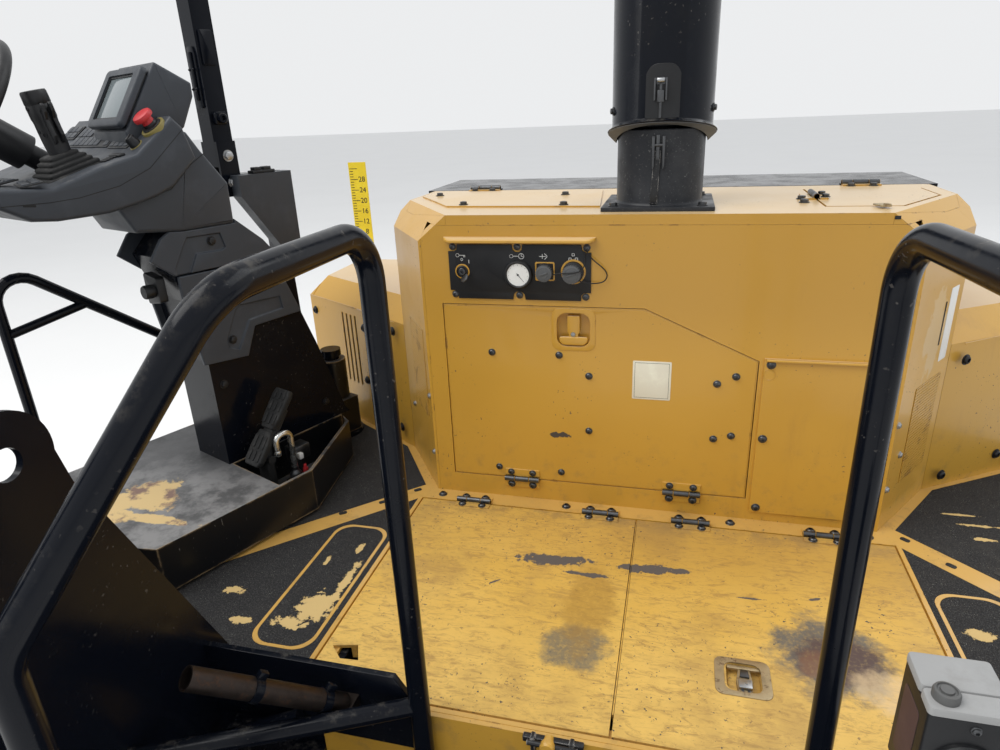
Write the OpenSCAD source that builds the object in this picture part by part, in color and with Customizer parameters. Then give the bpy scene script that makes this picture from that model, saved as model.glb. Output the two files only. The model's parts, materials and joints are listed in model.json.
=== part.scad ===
// Operator's station of a tracked asphalt paver: deck with floor doors, engine hood, exhaust stack,
// side boxes, rear handrails, seat, and a control platform that swings out with its console and mast.
// Origin: on the frame's underside, below the hood's hinge line, on the machine's centreline.
// +X points to the machine's right, +Y forwards, +Z up.

/* [Deck] */
// Height of the walking surface above the frame's underside
deck_z = 420; // [380:10:500]
// Half of the deck's width
deck_half_w = 1230; // [1180:10:1300]
// Distance from the hinge line back to the walkways' rear edge
deck_rear = 660; // [640:5:690]
// Distance from the hinge line forwards to the deck's front edge
deck_front = 1000; // [960:10:1100]
// Thickness of the deck's yellow pan under the treads
pan_t = 8; // [6:1:12]
// Thickness of the anti-slip tread plates
tread_t = 8; // [5:1:10]
// Distance from the centreline to the frame rails
rail_x = 620; // [580:10:680]
// Width of a frame rail
rail_w = 90; // [70:5:110]
// Height of a cross member
cross_h = 160; // [120:10:200]
// Width of a cross member
cross_w = 100; // [80:10:120]
// Depth of the black skirts below the deck's edge
skirt_h = 210; // [150:10:260]
// Thickness of the skirts
skirt_t = 10; // [6:1:14]
// Radius of the holes in the chassis feet
foot_hole_r = 13; // [9:0.5:16]
// Distance of the rear feet behind the hinge line
foot_rear = 600; // [500:10:640]
// Distance of the front feet ahead of the hinge line
foot_front = 900; // [800:10:940]

/* [Floor doors] */
// Length of the floor doors from the hinge line to their rear edge
door_l = 705; // [690:5:720]
// Half of the width over both doors
door_half_w = 622; // [600:2:630]
// Depth of the doors' folded edges
door_d = 34; // [26:2:40]
// Thickness of the doors' tread sheet
door_sheet = 7.5; // [5:0.5:7.5]
// Running gap round the doors
door_gap = 5; // [5:0.5:8]

/* [Hood] */
// Height of the hood above the deck
hood_h = 807; // [760:1:860]
// Distance from the hinge line to the hood's rear wall
wall_y = 55; // [48:1:70]
// Thickness of the hood's panels
hood_t = 25; // [16:1:30]
// Half of the rear wall's width
wall_half_w = 596; // [570:2:610]
// Half of the hood's width at its sides
hood_half_w = 765; // [740:5:790]
// Distance from the hinge line to where the corner panels meet the sides
corner_y = 300; // [270:5:330]
// Distance from the hinge line to the hood's front edge, where the engine cover starts
hood_front = 600; // [580:5:640]
// Run of the slope along the corner panels' top
corner_slope = 66; // [40:2:80]
// Run of the slope along the sides' top
side_slope = 30; // [20:2:45]
// Distance from the hinge line to the front bulkhead
bulkhead_y = 960; // [930:5:980]
// Thickness of the engine cover
cover_t = 28; // [20:2:36]

/* [Exhaust stack] */
// Distance from the hinge line to the stack's axis
stack_y = 230; // [215:5:260]
// Sideways place of the stack's axis
stack_x = 8; // [0:1:20]
// Outer radius of the lower tube
stack_low_r = 107; // [95:1:112]
// Outer radius of the upper tube
stack_up_r = 122; // [115:1:130]
// Radius of the flange ring
flange_r = 133; // [130:1:140]
// Height of the flange ring above the hood
flange_h = 178; // [150:2:220]
// Height of the upper tube
stack_up_h = 770; // [600:10:900]
// Wall of the stack's tubes
stack_wall = 5; // [4:0.5:8]

/* [Side boxes] */
// Half of the width over both side boxes
box_half_w = 1270; // [1240:5:1300]
// Height of the side boxes' upright faces
box_face_h = 435; // [380:5:480]
// Height of the side boxes' tops
box_h = 500; // [490:5:560]

/* [Control platform] */
// Angle by which the platform is swung out at rest
swing_rest = 23; // [0:1:40]
// Sideways place of the platform's pivot
pivot_x = -1080; // [-1100:5:-1060]
// Forward place of the platform's pivot
pivot_y = 380; // [370:5:390]
// Radius of the pivot pin
pivot_r = 26; // [20:1:30]
// Clearance between the platform and the deck
platform_gap = 10; // [6:1:20]
// Height of the platform's top above the deck
platform_h = 135; // [120:5:150]
// Thickness of the platform's plates
platform_t = 8; // [6:1:10]
// Width of the console's pedestal
pedestal_w = 158; // [140:2:180]
// Left edge of the console desk, from the pivot
desk_left = -330; // [-360:5:-280]
// Right edge of the console desk, from the pivot
desk_right = 175; // [165:1:185]
// Side of the square mast tube
mast_w = 60; // [50:2:70]
// Height of the mast's top above the deck
mast_top = 1500; // [1400:20:1700]
// Height of the mast's folding pin above the deck
mast_pin_z = 960; // [920:10:1000]
// Radius of the steering wheel's rim, to the middle of its section
wheel_r = 180; // [160:5:200]
// Radius of the steering wheel rim's section
wheel_rim_r = 15; // [12:1:18]

/* [Handrails] */
// Radius of the handrail tubes
tube_r = 19; // [16:0.5:24]
// Radius of the handrails' bends
bend_r = 75; // [60:5:100]
// Height of the handrails above the deck
rail_h = 905; // [860:5:960]

/* [Seat] */
// Sideways place of the seat's swivel
seat_x = -1300; // [-1320:10:-1290]
// Forward place of the seat's swivel
seat_y = -1100; // [-1120:10:-1090]
// Width of the seat's cushion
seat_w = 500; // [440:10:520]
// Length of the seat's cushion
seat_l = 500; // [440:10:520]
// Thickness of the seat's cushion
seat_t = 105; // [80:5:120]
// Height of the seat's shelf above the deck
shelf_h = 330; // [300:10:380]
// Height of the backrest
back_h = 560; // [480:10:640]

/* [Hinges] */
// Radius of the hinges' barrels
barrel_r = 7; // [6:0.5:8]
// Radius of the hinges' pins
hinge_pin_r = 3.5; // [3:0.5:4]
// Length of a hinge
hinge_l = 100; // [90:5:120]
// Thickness of the hinges' leaves
leaf_t = 4; // [3:0.5:5]
// Width of a hinge leaf from the barrel's axis
leaf_w = 28; // [24:1:32]

/* [Hidden] */
$fn = 48;

frame_top = deck_z - tread_t - pan_t;
pan_z = deck_z - tread_t;
hood_top_z = deck_z + hood_h;
running = 0.3;
seam = 0.5;
slack = 0.5;
rail_back = 1320;
rail_low = 282;
bulkhead_rear = -door_l - 15;
tube_sides = 16;
bend_steps = 8;
cross_places = [-1270, -foot_rear, 0, 250, 860];
wall_plan = [
    [-wall_half_w, wall_y], [wall_half_w, wall_y], [hood_half_w, corner_y], [hood_half_w, hood_front],
    [-hood_half_w, hood_front], [-hood_half_w, corner_y]];
hood_yellow = [0.76, 0.57, 0.2];
floor_yellow = [0.85, 0.68, 0.35];
gloss_black = [0.08, 0.08, 0.09];
tread_black = [0.12, 0.12, 0.12];
plastic_grey = [0.25, 0.26, 0.27];
pedestal_w0 = 138 - pedestal_w;
pedestal_y = -509;

function unit(v) = v / norm(v);
function side_normal(a, b) = let (d = unit(b - a)) [-d.y, d.x];
function moved_corner(a, b, c, t) =
    let (m = side_normal(a, b), n = side_normal(b, c)) b + t * (m + n) / (1 + m * n);
// Outline p, anticlockwise, with every side moved inwards by t
function inset(p, t) = [for (i = [0 : len(p) - 1])
    moved_corner(p[(i + len(p) - 1) % len(p)], p[i], p[(i + 1) % len(p)], t)];
function shifted(p, d) = [for (q = p) q + d];

// Upright plate parallel to the rear wall; its outline is in x and height above the deck
module wall_plate(outline, y, t) {
    translate([0, y + t, deck_z]) rotate([90, 0, 0]) linear_extrude(t) polygon(outline);
}

// Upright plate parallel to the machine's centre plane; its outline is in y and z
module side_plate(outline, x, t) {
    translate([x, 0, 0]) rotate([90, 0, 90]) linear_extrude(t) polygon(outline);
}

module rod(a, b, r) {
    d = b - a;
    translate(a) rotate([0, acos(d.z / norm(d)), atan2(d.y, d.x)]) cylinder(r = r, h = norm(d));
}

// Square bar from a to b
module bar(a, b, w) {
    d = b - a;
    translate(a) rotate([0, acos(d.z / norm(d)), atan2(d.y, d.x)])
        translate([-w / 2, -w / 2, 0]) cube([w, w, norm(d)]);
}

// Points and directions round the corner b of a tube that comes from a and leaves to c
function arc_run(a, b, c, bend) =
    let (u = unit(b - a), w = unit(c - b), angle = acos(u * w), inward = cross(unit(cross(u, w)), u))
    let (m = b - bend * tan(angle / 2) * u + bend * inward)
    [for (k = [0 : bend_steps]) let (t = angle * k / bend_steps)
        [m + bend * (sin(t) * u - cos(t) * inward), cos(t) * u + sin(t) * inward]];

function centre_line(path, bend) = let (last = len(path) - 1) concat(
    [[path[0], unit(path[1] - path[0])]],
    [for (i = [1 : 1 : last - 1]) each arc_run(path[i - 1], path[i], path[i + 1], bend)],
    [[path[last], unit(path[last] - path[last - 1])]]);

function carried(n, t) = unit(n - (n * t) * t);

// Tube along a path of corners, swept as rings square to its centre line
module bent_tube(path, r, bend) {
    line = centre_line(path, bend);
    normals = [for (i = 0, n = carried([0.6, 0.5, 0.62], line[0][1]); i < len(line);
        i = i + 1, n = carried(n, line[min(i, len(line) - 1)][1])) n];
    rings = [for (i = [0 : len(line) - 1]) for (k = [0 : tube_sides - 1])
        let (a = 360 * k / tube_sides)
        line[i][0] + r * (cos(a) * normals[i] + sin(a) * cross(line[i][1], normals[i]))];
    sides = [for (i = [0 : len(line) - 2]) for (k = [0 : tube_sides - 1])
        let (p = i * tube_sides + k, q = i * tube_sides + (k + 1) % tube_sides)
        each [[p, p + tube_sides, q], [q, p + tube_sides, q + tube_sides]]];
    ends = [
        [for (k = [0 : tube_sides - 1]) k],
        [for (k = [tube_sides - 1 : -1 : 0]) (len(line) - 1) * tube_sides + k]];
    polyhedron(points = rings, faces = concat(ends, sides));
}

// Hinge along X with its axis at the origin; the leaves lie under the barrel, side 1 towards +Y
module hinge_leaf(side, spans) {
    y0 = side > 0 ? barrel_r + 2 : -leaf_w;
    translate([-hinge_l / 2, y0, -barrel_r - 1]) cube([hinge_l, leaf_w - barrel_r - 2, leaf_t]);
    for (s = spans) {
        translate([s[0], side > 0 ? 0 : -barrel_r - 2.5, -barrel_r - 1])
            cube([s[1] - s[0], barrel_r + 2.5, leaf_t]);
    }
}

knuckle = 20;
outer_spans = [[-hinge_l / 2, -knuckle - 1], [knuckle + 1, hinge_l / 2]];
module hinge_fixed(side = 1) {
    color(gloss_black) {
        for (s = outer_spans) rod([s[0], 0, 0], [s[1], 0, 0], barrel_r);
        rod([-hinge_l / 2, 0, 0], [hinge_l / 2, 0, 0], hinge_pin_r);
        hinge_leaf(side, outer_spans);
    }
}

module hinge_moving(side = -1) {
    color(gloss_black) difference() {
        union() {
            rod([-knuckle, 0, 0], [knuckle, 0, 0], barrel_r);
            hinge_leaf(side, [[-knuckle, knuckle]]);
        }
        rod([-hinge_l / 2, 0, 0], [hinge_l / 2, 0, 0], hinge_pin_r + running);
    }
}

// Deck

deck_plan = [
    [-deck_half_w, -deck_rear], [-rail_x - 30, -deck_rear], [-rail_x - 30, -door_l - 15],
    [rail_x + 30, -door_l - 15], [rail_x + 30, -deck_rear], [deck_half_w, -deck_rear],
    [deck_half_w, deck_front], [-deck_half_w, deck_front]];

module deck_frame() {
    color(gloss_black) difference() {
        union() {
            for (s = [-1, 1]) {
                translate([s * rail_x - rail_w / 2, bulkhead_rear, 0])
                    cube([rail_w, deck_front - skirt_t - bulkhead_rear, frame_top]);
                translate([s * rail_x - rail_w / 2, -rail_back, 0])
                    cube([rail_w, rail_back + bulkhead_rear, rail_low]);
                translate([s * (deck_half_w - skirt_t / 2) - skirt_t / 2, -deck_rear, frame_top - skirt_h])
                    cube([skirt_t, deck_rear + deck_front, skirt_h]);
                x0 = s > 0 ? rail_x : -deck_half_w;
                translate([x0, -deck_rear, frame_top - skirt_h])
                    cube([deck_half_w - rail_x, skirt_t, skirt_h]);
                for (y = [-deck_rear + 60, 0, deck_front - 120])
                    translate([x0, y, frame_top - 90]) cube([deck_half_w - rail_x, 60, 90]);
            }
            translate([-deck_half_w, deck_front - skirt_t, frame_top - skirt_h])
                cube([2 * deck_half_w, skirt_t, skirt_h]);
            for (y = cross_places)
                translate([-rail_x, y - cross_w / 2, 0]) cube([2 * rail_x, cross_w, cross_h]);
        }
        for (x = [-rail_x, rail_x]) for (y = [-foot_rear, foot_front])
            translate([x, y, -1]) cylinder(r = foot_hole_r, h = 61);
        for (x = [-rail_x, rail_x]) for (y = [-foot_rear, foot_front])
            translate([x - 30, y - 40, 60]) cube([rail_w, 80, 120]);
    }
}

strip_c = 670;
strip_half = 42;
tread_edge = deck_half_w - 12;
tread_inner = door_half_w + 16;
rear_tread = [
    [tread_inner, -deck_rear + 8], [tread_edge, -deck_rear + 8], [tread_edge, strip_c - strip_half - tread_edge],
    [tread_inner, strip_c - strip_half - tread_inner]];
box_knee = [1000, 450];
box_shoulder_y = 620;
box_front = 950;
box_foot = [[hood_half_w + 28, corner_y], box_knee + [5, -18], [tread_edge, box_shoulder_y - 45]];
front_tread = concat(
    [[tread_edge, strip_c + strip_half - tread_edge]], [for (i = [2 : -1 : 0]) box_foot[i]],
    [[wall_half_w + 46, strip_c + strip_half - wall_half_w - 46]]);
hatch_low = [660, -625];
hatch_size = [135, 445];

module hatch_outline(grow) {
    r = 45;
    translate(hatch_low) hull() {
        for (x = [r - grow, hatch_size.x - r + grow]) for (y = [r - grow, hatch_size.y - r + grow])
            translate([x, y]) circle(r, $fn = 32);
    }
}

module treads(grow) {
    difference() {
        polygon(inset(rear_tread, -grow));
        hatch_outline(9 - grow);
    }
    polygon(inset(front_tread, -grow));
}

module deck_pan() {
    color(hood_yellow) difference() {
        translate([0, 0, frame_top]) linear_extrude(pan_t + tread_t) polygon(deck_plan);
        for (s = [0, 1]) mirror([s, 0, 0]) translate([0, 0, pan_z]) linear_extrude(tread_t + 1) {
            treads(seam);
            hatch_outline(seam);
        }
        translate([-door_half_w - door_gap, -door_l - door_gap, pan_z])
            cube([2 * (door_half_w + door_gap), door_l + door_gap, tread_t + 1]);
        translate([-door_half_w + 30, -door_l + 20, frame_top - 1])
            cube([2 * door_half_w - 60, door_l - 40, pan_t + 2]);
        translate([-450, wall_y + hood_t + 30, frame_top - 1])
            cube([900, hood_front + 320 - wall_y - hood_t - 30, pan_t + tread_t + 2]);
    }
    for (h = floor_hinges) translate([h, 0, deck_z + barrel_r + 1]) hinge_fixed(1);
}

module walkway_left() {
    mirror([1, 0, 0]) walkway_right();
}

module walkway_right() {
    color(tread_black) translate([0, 0, pan_z]) linear_extrude(tread_t) treads(0);
}

module walk_hatches() {
    color(tread_black) for (s = [0, 1]) mirror([s, 0, 0])
        translate([0, 0, pan_z]) linear_extrude(tread_t) hatch_outline(0);
}

floor_hinges = [-469, -107, 132, 461];
door_split = -8;

module floor_door(x0, x1, hinges) {
    lip = 54;
    color(floor_yellow) {
        translate([0, 0, deck_z - door_sheet]) linear_extrude(door_sheet)
            polygon([[x0, -door_l], [x1, -door_l], [x1, -door_gap], [x0, -door_gap]]);
        translate([x0 + lip, -door_l + lip, deck_z - door_d])
            cube([x1 - x0 - 2 * lip, door_l - 2 * lip - door_gap, door_d - door_sheet / 2]);
    }
    for (h = hinges) translate([h, 0, deck_z + barrel_r + 1]) hinge_moving(-1);
}

module floor_door_left() {
    floor_door(-door_half_w, door_split - door_gap / 2, [floor_hinges[0], floor_hinges[1]]);
}

module floor_door_right() {
    floor_door(door_split + door_gap / 2, door_half_w, [floor_hinges[2], floor_hinges[3]]);
}

// Rear of the station

module rear_bulkhead() {
    color(hood_yellow) translate([-rail_x + rail_w / 2, bulkhead_rear - 10, cross_h])
        cube([2 * rail_x - rail_w, 10, deck_z - cross_h - 1]);
}

step_z = cross_h + 30;
module rear_step() {
    color(tread_black) translate([-rail_x + rail_w / 2, -rail_back + 20, cross_h])
        cube([2 * rail_x - rail_w, rail_back + bulkhead_rear - 30, step_z - cross_h]);
}

leg_y = bulkhead_rear - 10 - tube_r;
leg_left = -350;
leg_right = 317;
far_leg = [528, -1255];
bend_y = -1090;
bend_z = deck_z + 590;
plate_t = 12;
module rail_foot(x, y) {
    translate([x, y, step_z]) cylinder(r = 42, h = plate_t);
}

module handrail(x, top_x, far_x) {
    top = deck_z + rail_h;
    foot_z = step_z + plate_t / 2;
    color(gloss_black) {
        bent_tube([
            [x, leg_y, foot_z], [x, leg_y, top], [top_x, bend_y, top], [far_x, far_leg.y, bend_z],
            [far_x, far_leg.y, foot_z]], tube_r, bend_r);
        difference() {
            rail_foot(x, leg_y);
            translate([x - 60, bulkhead_rear - 10, step_z - 1]) cube([120, 60, plate_t + 2]);
        }
        rail_foot(far_x, far_leg.y);
    }
}

module handrail_left() {
    handrail(leg_left, leg_left, -far_leg.x);
}

module handrail_right() {
    handrail(leg_right, leg_right + 30, far_leg.x);
}

guard_r = 17;
guard_z = deck_z + 40;
guard_run = 228;
guard_plate_t = 12;
guard_plate_low = deck_z - 80;
guard_plate_top = deck_z + 90;
// Cross tube and upright plate between the left handrail and the seat's support
module rear_guard() {
    color(gloss_black) difference() {
        union() {
            rod([leg_left, leg_y, guard_z], [support_right - 20, leg_y - guard_run, guard_z], guard_r);
            translate([0, bulkhead_rear - 10, 0]) rotate([90, 0, 0]) linear_extrude(guard_plate_t) polygon([
                [support_right, guard_plate_low], [leg_left, guard_plate_low], [leg_left, guard_z + 10],
                [leg_left - 50, guard_plate_top], [support_right, guard_plate_top]]);
        }
        translate([leg_left, leg_y, guard_plate_low - 10]) cylinder(r = tube_r, h = guard_plate_top - guard_plate_low);
        translate([support_right - 100, leg_y - 400, guard_plate_low - 10])
            cube([100 + support_t, 440, guard_plate_top - guard_plate_low + 20]);
    }
}

support_left = -1506;
support_right = -816;
support_rear = -1310;
support_t = 12;
shelf_z = deck_z + shelf_h;
support_low = deck_z - 150;
support_front = -deck_rear - 2;
lug = [-992, deck_z + 628];
lug_r = 75;
support_side = [
    [support_front, support_low], [support_front, deck_z], [-905, deck_z + 555], [lug.x + lug_r - 14, lug.y + 45],
    [lug.x - lug_r, lug.y], [lug.x - lug_r, shelf_z + 60], [support_rear, shelf_z - 20], [support_rear, support_low]];

// Side plate of the seat's support with the round lug at its top
module support_plate(x) {
    translate([x, 0, 0]) rotate([90, 0, 90]) linear_extrude(support_t) difference() {
        union() {
            polygon(support_side);
            translate(lug) circle(lug_r);
        }
        translate(lug) circle(24);
    }
}

module seat_support() {
    width = support_right - support_left + support_t;
    color(gloss_black) {
        support_plate(support_right);
        side_plate([
            [support_front, support_low], [support_front, deck_z], [-860, shelf_z], [support_rear, shelf_z],
            [support_rear, support_low]], support_left, support_t);
        translate([support_left, support_rear, support_low])
            cube([-rail_x - rail_w / 2 - support_left, support_front - support_rear, support_t]);
        translate([support_left, support_rear, support_low]) cube([width, support_t, shelf_z - support_low]);
        translate([support_left, support_rear, shelf_z - support_t]) cube([width, 430, support_t]);
    }
}

bar_r = 20;
bar_wall = 3;
bar_low = [-497, -765, deck_z + 30];
bar_high = [-652, -944, deck_z + 236];
// Steel tube kept in a clip on the guard plate
module stowed_bar() {
    back = bulkhead_rear - 10 - guard_plate_t;
    color("silver") {
        difference() {
            rod(bar_low, bar_high, bar_r);
            rod(bar_low + 20 * unit(bar_high - bar_low), bar_high + 5 * unit(bar_high - bar_low), bar_r - bar_wall);
        }
        translate([bar_low.x - 22, bar_low.y - 10, bar_low.z - 30]) cube([44, back - bar_low.y + 10, 34]);
    }
}

socket_box = [80, 80, 140];
socket_place = [372, -979];
socket_top = deck_z + 480;
post_r = 22;
module junction_box() {
    color(plastic_grey) {
        translate([socket_place.x - socket_box.x / 2, socket_place.y - socket_box.y / 2, socket_top - socket_box.z])
            cube(socket_box);
        translate([socket_place.x - 27, socket_place.y - 28, socket_top]) cylinder(r = 12, h = 12);
    }
    color(gloss_black) translate([socket_place.x, socket_place.y, step_z]) {
        cylinder(r = post_r, h = socket_top - socket_box.z - step_z);
        cylinder(r = 2 * post_r, h = 10);
    }
}

// Hood

// Wedge that takes off the top edge from a to b, its run equal to its drop
module edge_cut(a, b, size, top) {
    d = b - a;
    translate([a.x, a.y, top]) rotate([0, 0, atan2(d.y, d.x)]) translate([-300, 0, 0])
        rotate([90, 0, 90]) linear_extrude(norm(d) + 600)
            polygon([[-60, -size - 60], [size + 60, 60], [-60, 60]]);
}

module hood_block(t) {
    p = inset(wall_plan, t);
    ease = (2 - sqrt(2)) * t;
    difference() {
        translate([0, 0, deck_z - (t > 0 ? 1 : 0)]) linear_extrude(hood_h - t + (t > 0 ? 1 : 0)) polygon(p);
        edge_cut(p[1], p[2], corner_slope - ease, hood_top_z - t);
        edge_cut(p[5], p[0], corner_slope - ease, hood_top_z - t);
        edge_cut(p[2], p[3], side_slope - ease, hood_top_z - t);
        edge_cut(p[4], p[5], side_slope - ease, hood_top_z - t);
    }
}

module hood_shell() {
    difference() {
        hood_block(0);
        hood_block(hood_t);
        translate([-hood_half_w + hood_t, hood_front - hood_t - 1, deck_z - 1])
            cube([2 * (hood_half_w - hood_t), hood_t + 2, hood_h - 60]);
    }
}

top_plan = [
    [-wall_half_w + 81, wall_y - 1], [wall_half_w - 81, wall_y - 1], [hood_half_w - 81 + 40, corner_y],
    [hood_half_w - side_slope - 5, corner_y + 60], [hood_half_w - side_slope - 5, hood_front + 1],
    [-hood_half_w + side_slope + 5, hood_front + 1], [-hood_half_w + side_slope + 5, corner_y + 60],
    [-hood_half_w + 81 - 40, corner_y]];

module top_region(shrink) {
    translate([0, 0, hood_top_z - hood_t + min(shrink, 0)])
        linear_extrude(hood_t + 2) polygon(inset(top_plan, shrink));
}

service_door_plan = [[-535, 66], [266, 66], [266, 447], [-10, 571], [-535, 571]];
service_axis = [wall_y - barrel_r - 1, deck_z + 66 - door_gap / 2];
service_hinges = [-336, 105];

module hood_rear_wall() {
    color(hood_yellow) difference() {
        intersection() {
            hood_shell();
            translate([-wall_half_w + 8, wall_y - 5, deck_z])
                cube([2 * wall_half_w - 16, hood_t + 10, hood_h - hood_t - seam]);
        }
        wall_plate(inset(service_door_plan, -door_gap), wall_y - 5, hood_t + 10);
    }
    for (x = service_hinges) translate([x, service_axis.x, service_axis.y]) rotate([90, 0, 0]) hinge_fixed(-1);
}

module corner_region(s) {
    x0 = s > 0 ? wall_half_w - 8 + seam : -hood_half_w - 5;
    translate([x0, wall_y - 5, deck_z])
        cube([hood_half_w - wall_half_w + 13 - seam, corner_y - wall_y + 5, hood_h + 1]);
    x1 = s > 0 ? wall_half_w - 120 : -wall_half_w - 7.5;
    translate([x1, wall_y - 5, hood_top_z - hood_t]) cube([128 - seam, corner_y - wall_y + 5, hood_t + 1]);
}

module hood_corner(s) {
    color(hood_yellow) difference() {
        intersection() {
            hood_shell();
            corner_region(s);
        }
        top_region(-seam);
    }
}

module hood_corner_left() {
    hood_corner(-1);
}

module hood_corner_right() {
    hood_corner(1);
}

module hood_side(s) {
    x0 = s > 0 ? hood_half_w - 200 : -hood_half_w - 5;
    color(hood_yellow) {
        difference() {
            intersection() {
                hood_shell();
                translate([x0, corner_y + seam, deck_z])
                    cube([205, hood_front - corner_y, hood_h + 1]);
            }
            top_region(-seam);
        }
        x1 = s > 0 ? hood_half_w - hood_t : -hood_half_w;
        translate([x1, hood_front + seam, deck_z]) cube([hood_t, bulkhead_y - hood_front, hood_h - cover_t - 14]);
    }
}

module hood_side_left() {
    hood_side(-1);
}

module hood_side_right() {
    hood_side(1);
}

fill_plan = [[398, 165], [560, 165], [688, 350], [688, 505], [398, 505]];
cover_hinges = [-560, 560];
cover_axis = [hood_front + 4, hood_top_z + barrel_r + 1];
lid_axis = [394, hood_top_z + barrel_r + 1];
module hood_top() {
    color(hood_yellow) difference() {
        intersection() {
            hood_shell();
            top_region(0);
        }
        translate([0, 0, hood_top_z - hood_t - 1]) linear_extrude(hood_t + 2) polygon(inset(fill_plan, 20));
        translate([0, 0, hood_top_z - 8]) linear_extrude(hood_t) polygon(inset(fill_plan, -door_gap));
        translate([stack_x, stack_y, hood_top_z - hood_t - 1]) cylinder(r = stack_low_r - 12, h = hood_t + 2);
    }
    for (x = cover_hinges) translate([x, cover_axis.x, cover_axis.y]) hinge_fixed(-1);
    translate([lid_axis.x, 335, lid_axis.y]) rotate([0, 0, 90]) hinge_fixed(1);
}

module top_cover_plate() {
    color(hood_yellow) translate([0, 0, hood_top_z]) linear_extrude(4)
        polygon([[-560, 200], [-137, 180], [-170, 545], [-715, 545], [-715, 430]]);
}

module fill_lid() {
    color(hood_yellow) translate([0, 0, hood_top_z - 7.5]) linear_extrude(8) polygon(fill_plan);
    translate([lid_axis.x, 335, lid_axis.y]) rotate([0, 0, 90]) hinge_moving(-1);
}

module engine_cover() {
    y0 = hood_front + door_gap + 4;
    color(gloss_black) translate([-hood_half_w + 4, y0, hood_top_z - cover_t])
        cube([2 * hood_half_w - 8, bulkhead_y + 8 - y0, cover_t]);
    for (x = cover_hinges) translate([x, cover_axis.x, cover_axis.y]) hinge_moving(1);
}

module front_bulkhead() {
    w = 2 * (hood_half_w - hood_t) - 2 * seam;
    color(hood_yellow) translate([-w / 2, bulkhead_y - hood_t, deck_z]) cube([w, hood_t, hood_h - cover_t - 14]);
}

engine_size = [680, 710, 820];
engine_rear = 170;
module engine_block() {
    color("dimgray") translate([-engine_size.x / 2, engine_rear, cross_h]) cube(engine_size);
}

function rectangle(low, size) = [low, low + [size.x, 0], low + size, low + [0, size.y]];
panel_low = [282, 28];
panel_size = [263, 432];
panel_t = 6;
module bolted_panel() {
    color(hood_yellow) wall_plate(rectangle(panel_low, panel_size), wall_y - panel_t, panel_t);
}

// Boss on the instrument panel; place is its centre in x and height above the deck
module panel_boss(place, r, h) {
    translate([place.x, wall_y - dash_t, deck_z + place.y]) rotate([90, 0, 0]) cylinder(r = r, h = h);
}

dash_low = [-513, 592];
dash_size = [370, 142];
dash_t = 5;
socket_w = 44;
socket_d = 18;
module instrument_panel() {
    color(gloss_black) wall_plate(rectangle(dash_low, dash_size), wall_y - dash_t, dash_t);
    color("silver") {
        panel_boss([-478, 664], 15, 14);
        panel_boss([-329, 658], 33, 10);
        panel_boss([-193, 661], 29, 24);
        translate([-285, wall_y - dash_t - socket_d, deck_z + 642]) cube([socket_w, socket_d, socket_w]);
    }
}

module service_door() {
    color(hood_yellow) wall_plate(service_door_plan, wall_y, hood_t);
    for (x = service_hinges) translate([x, service_axis.x, service_axis.y]) rotate([90, 0, 0]) hinge_moving(1);
}

// Side boxes

box_plan = [
    [hood_half_w + seam, corner_y], box_knee, [box_half_w, box_shoulder_y], [box_half_w, box_front],
    [hood_half_w + seam, box_front]];
module side_box_right() {
    color(hood_yellow) difference() {
        translate([0, 0, deck_z]) linear_extrude(box_h) polygon(box_plan);
        for (i = [0, 1, 2]) edge_cut(box_plan[i], box_plan[i + 1], box_h - box_face_h, deck_z + box_h);
    }
}

module side_box_left() {
    mirror([1, 0, 0]) side_box_right();
}

// Exhaust stack

flange_z = hood_top_z + flange_h;
collar_z = flange_z + 8 + slack;
collar_t = 14;
stack_pin_r = 6;
stack_ear_r = 12;
stack_axis = [stack_y + flange_r + stack_ear_r, collar_z + collar_t / 2];
module stack_base() {
    color(gloss_black) {
        difference() {
            union() {
                translate([stack_x - 135, stack_y - 135, hood_top_z]) cube([270, 270, 10]);
                translate([stack_x, stack_y, hood_top_z]) cylinder(r = stack_low_r, h = flange_h);
                translate([stack_x, stack_y, flange_z - 4]) cylinder(r = flange_r, h = 12);
            }
            translate([stack_x, stack_y, hood_top_z - 1]) cylinder(r = stack_low_r - stack_wall, h = flange_h + 20);
        }
        for (x = [stack_x - 31, stack_x + 22]) {
            translate([x, stack_y + flange_r - 12, flange_z - 4]) cube([9, stack_ear_r + 12, 12]);
            translate([x, stack_axis.x, stack_axis.y]) rotate([0, 90, 0]) cylinder(r = stack_ear_r, h = 9);
            translate([x, stack_axis.x - 6, flange_z - 4]) cube([9, 12, stack_axis.y - flange_z + 4]);
        }
        translate([stack_x - 31, stack_axis.x, stack_axis.y]) rotate([0, 90, 0]) cylinder(r = stack_pin_r, h = 62);
    }
}

module stack_upper() {
    color(gloss_black) {
        translate([stack_x, stack_y, collar_z]) difference() {
            union() {
                cylinder(r = stack_up_r, h = stack_up_h);
                cylinder(r = flange_r, h = collar_t);
                translate([-20, flange_r - 15, 0]) cube([40, stack_ear_r + 15, collar_t]);
                translate([-20, flange_r + stack_ear_r, collar_t / 2]) rotate([0, 90, 0])
                    cylinder(r = stack_ear_r, h = 40);
            }
            translate([0, 0, -1]) cylinder(r = stack_up_r - stack_wall, h = stack_up_h + 2);
            translate([-25, flange_r + stack_ear_r, collar_t / 2]) rotate([0, 90, 0])
                cylinder(r = stack_pin_r + running, h = 50);
        }
    }
}

// Control platform: modelled round its pivot, +Y along its length and +X to its right

module on_platform() {
    translate([pivot_x, pivot_y, deck_z]) rotate([0, 0, -swing_rest]) children();
}

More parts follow.
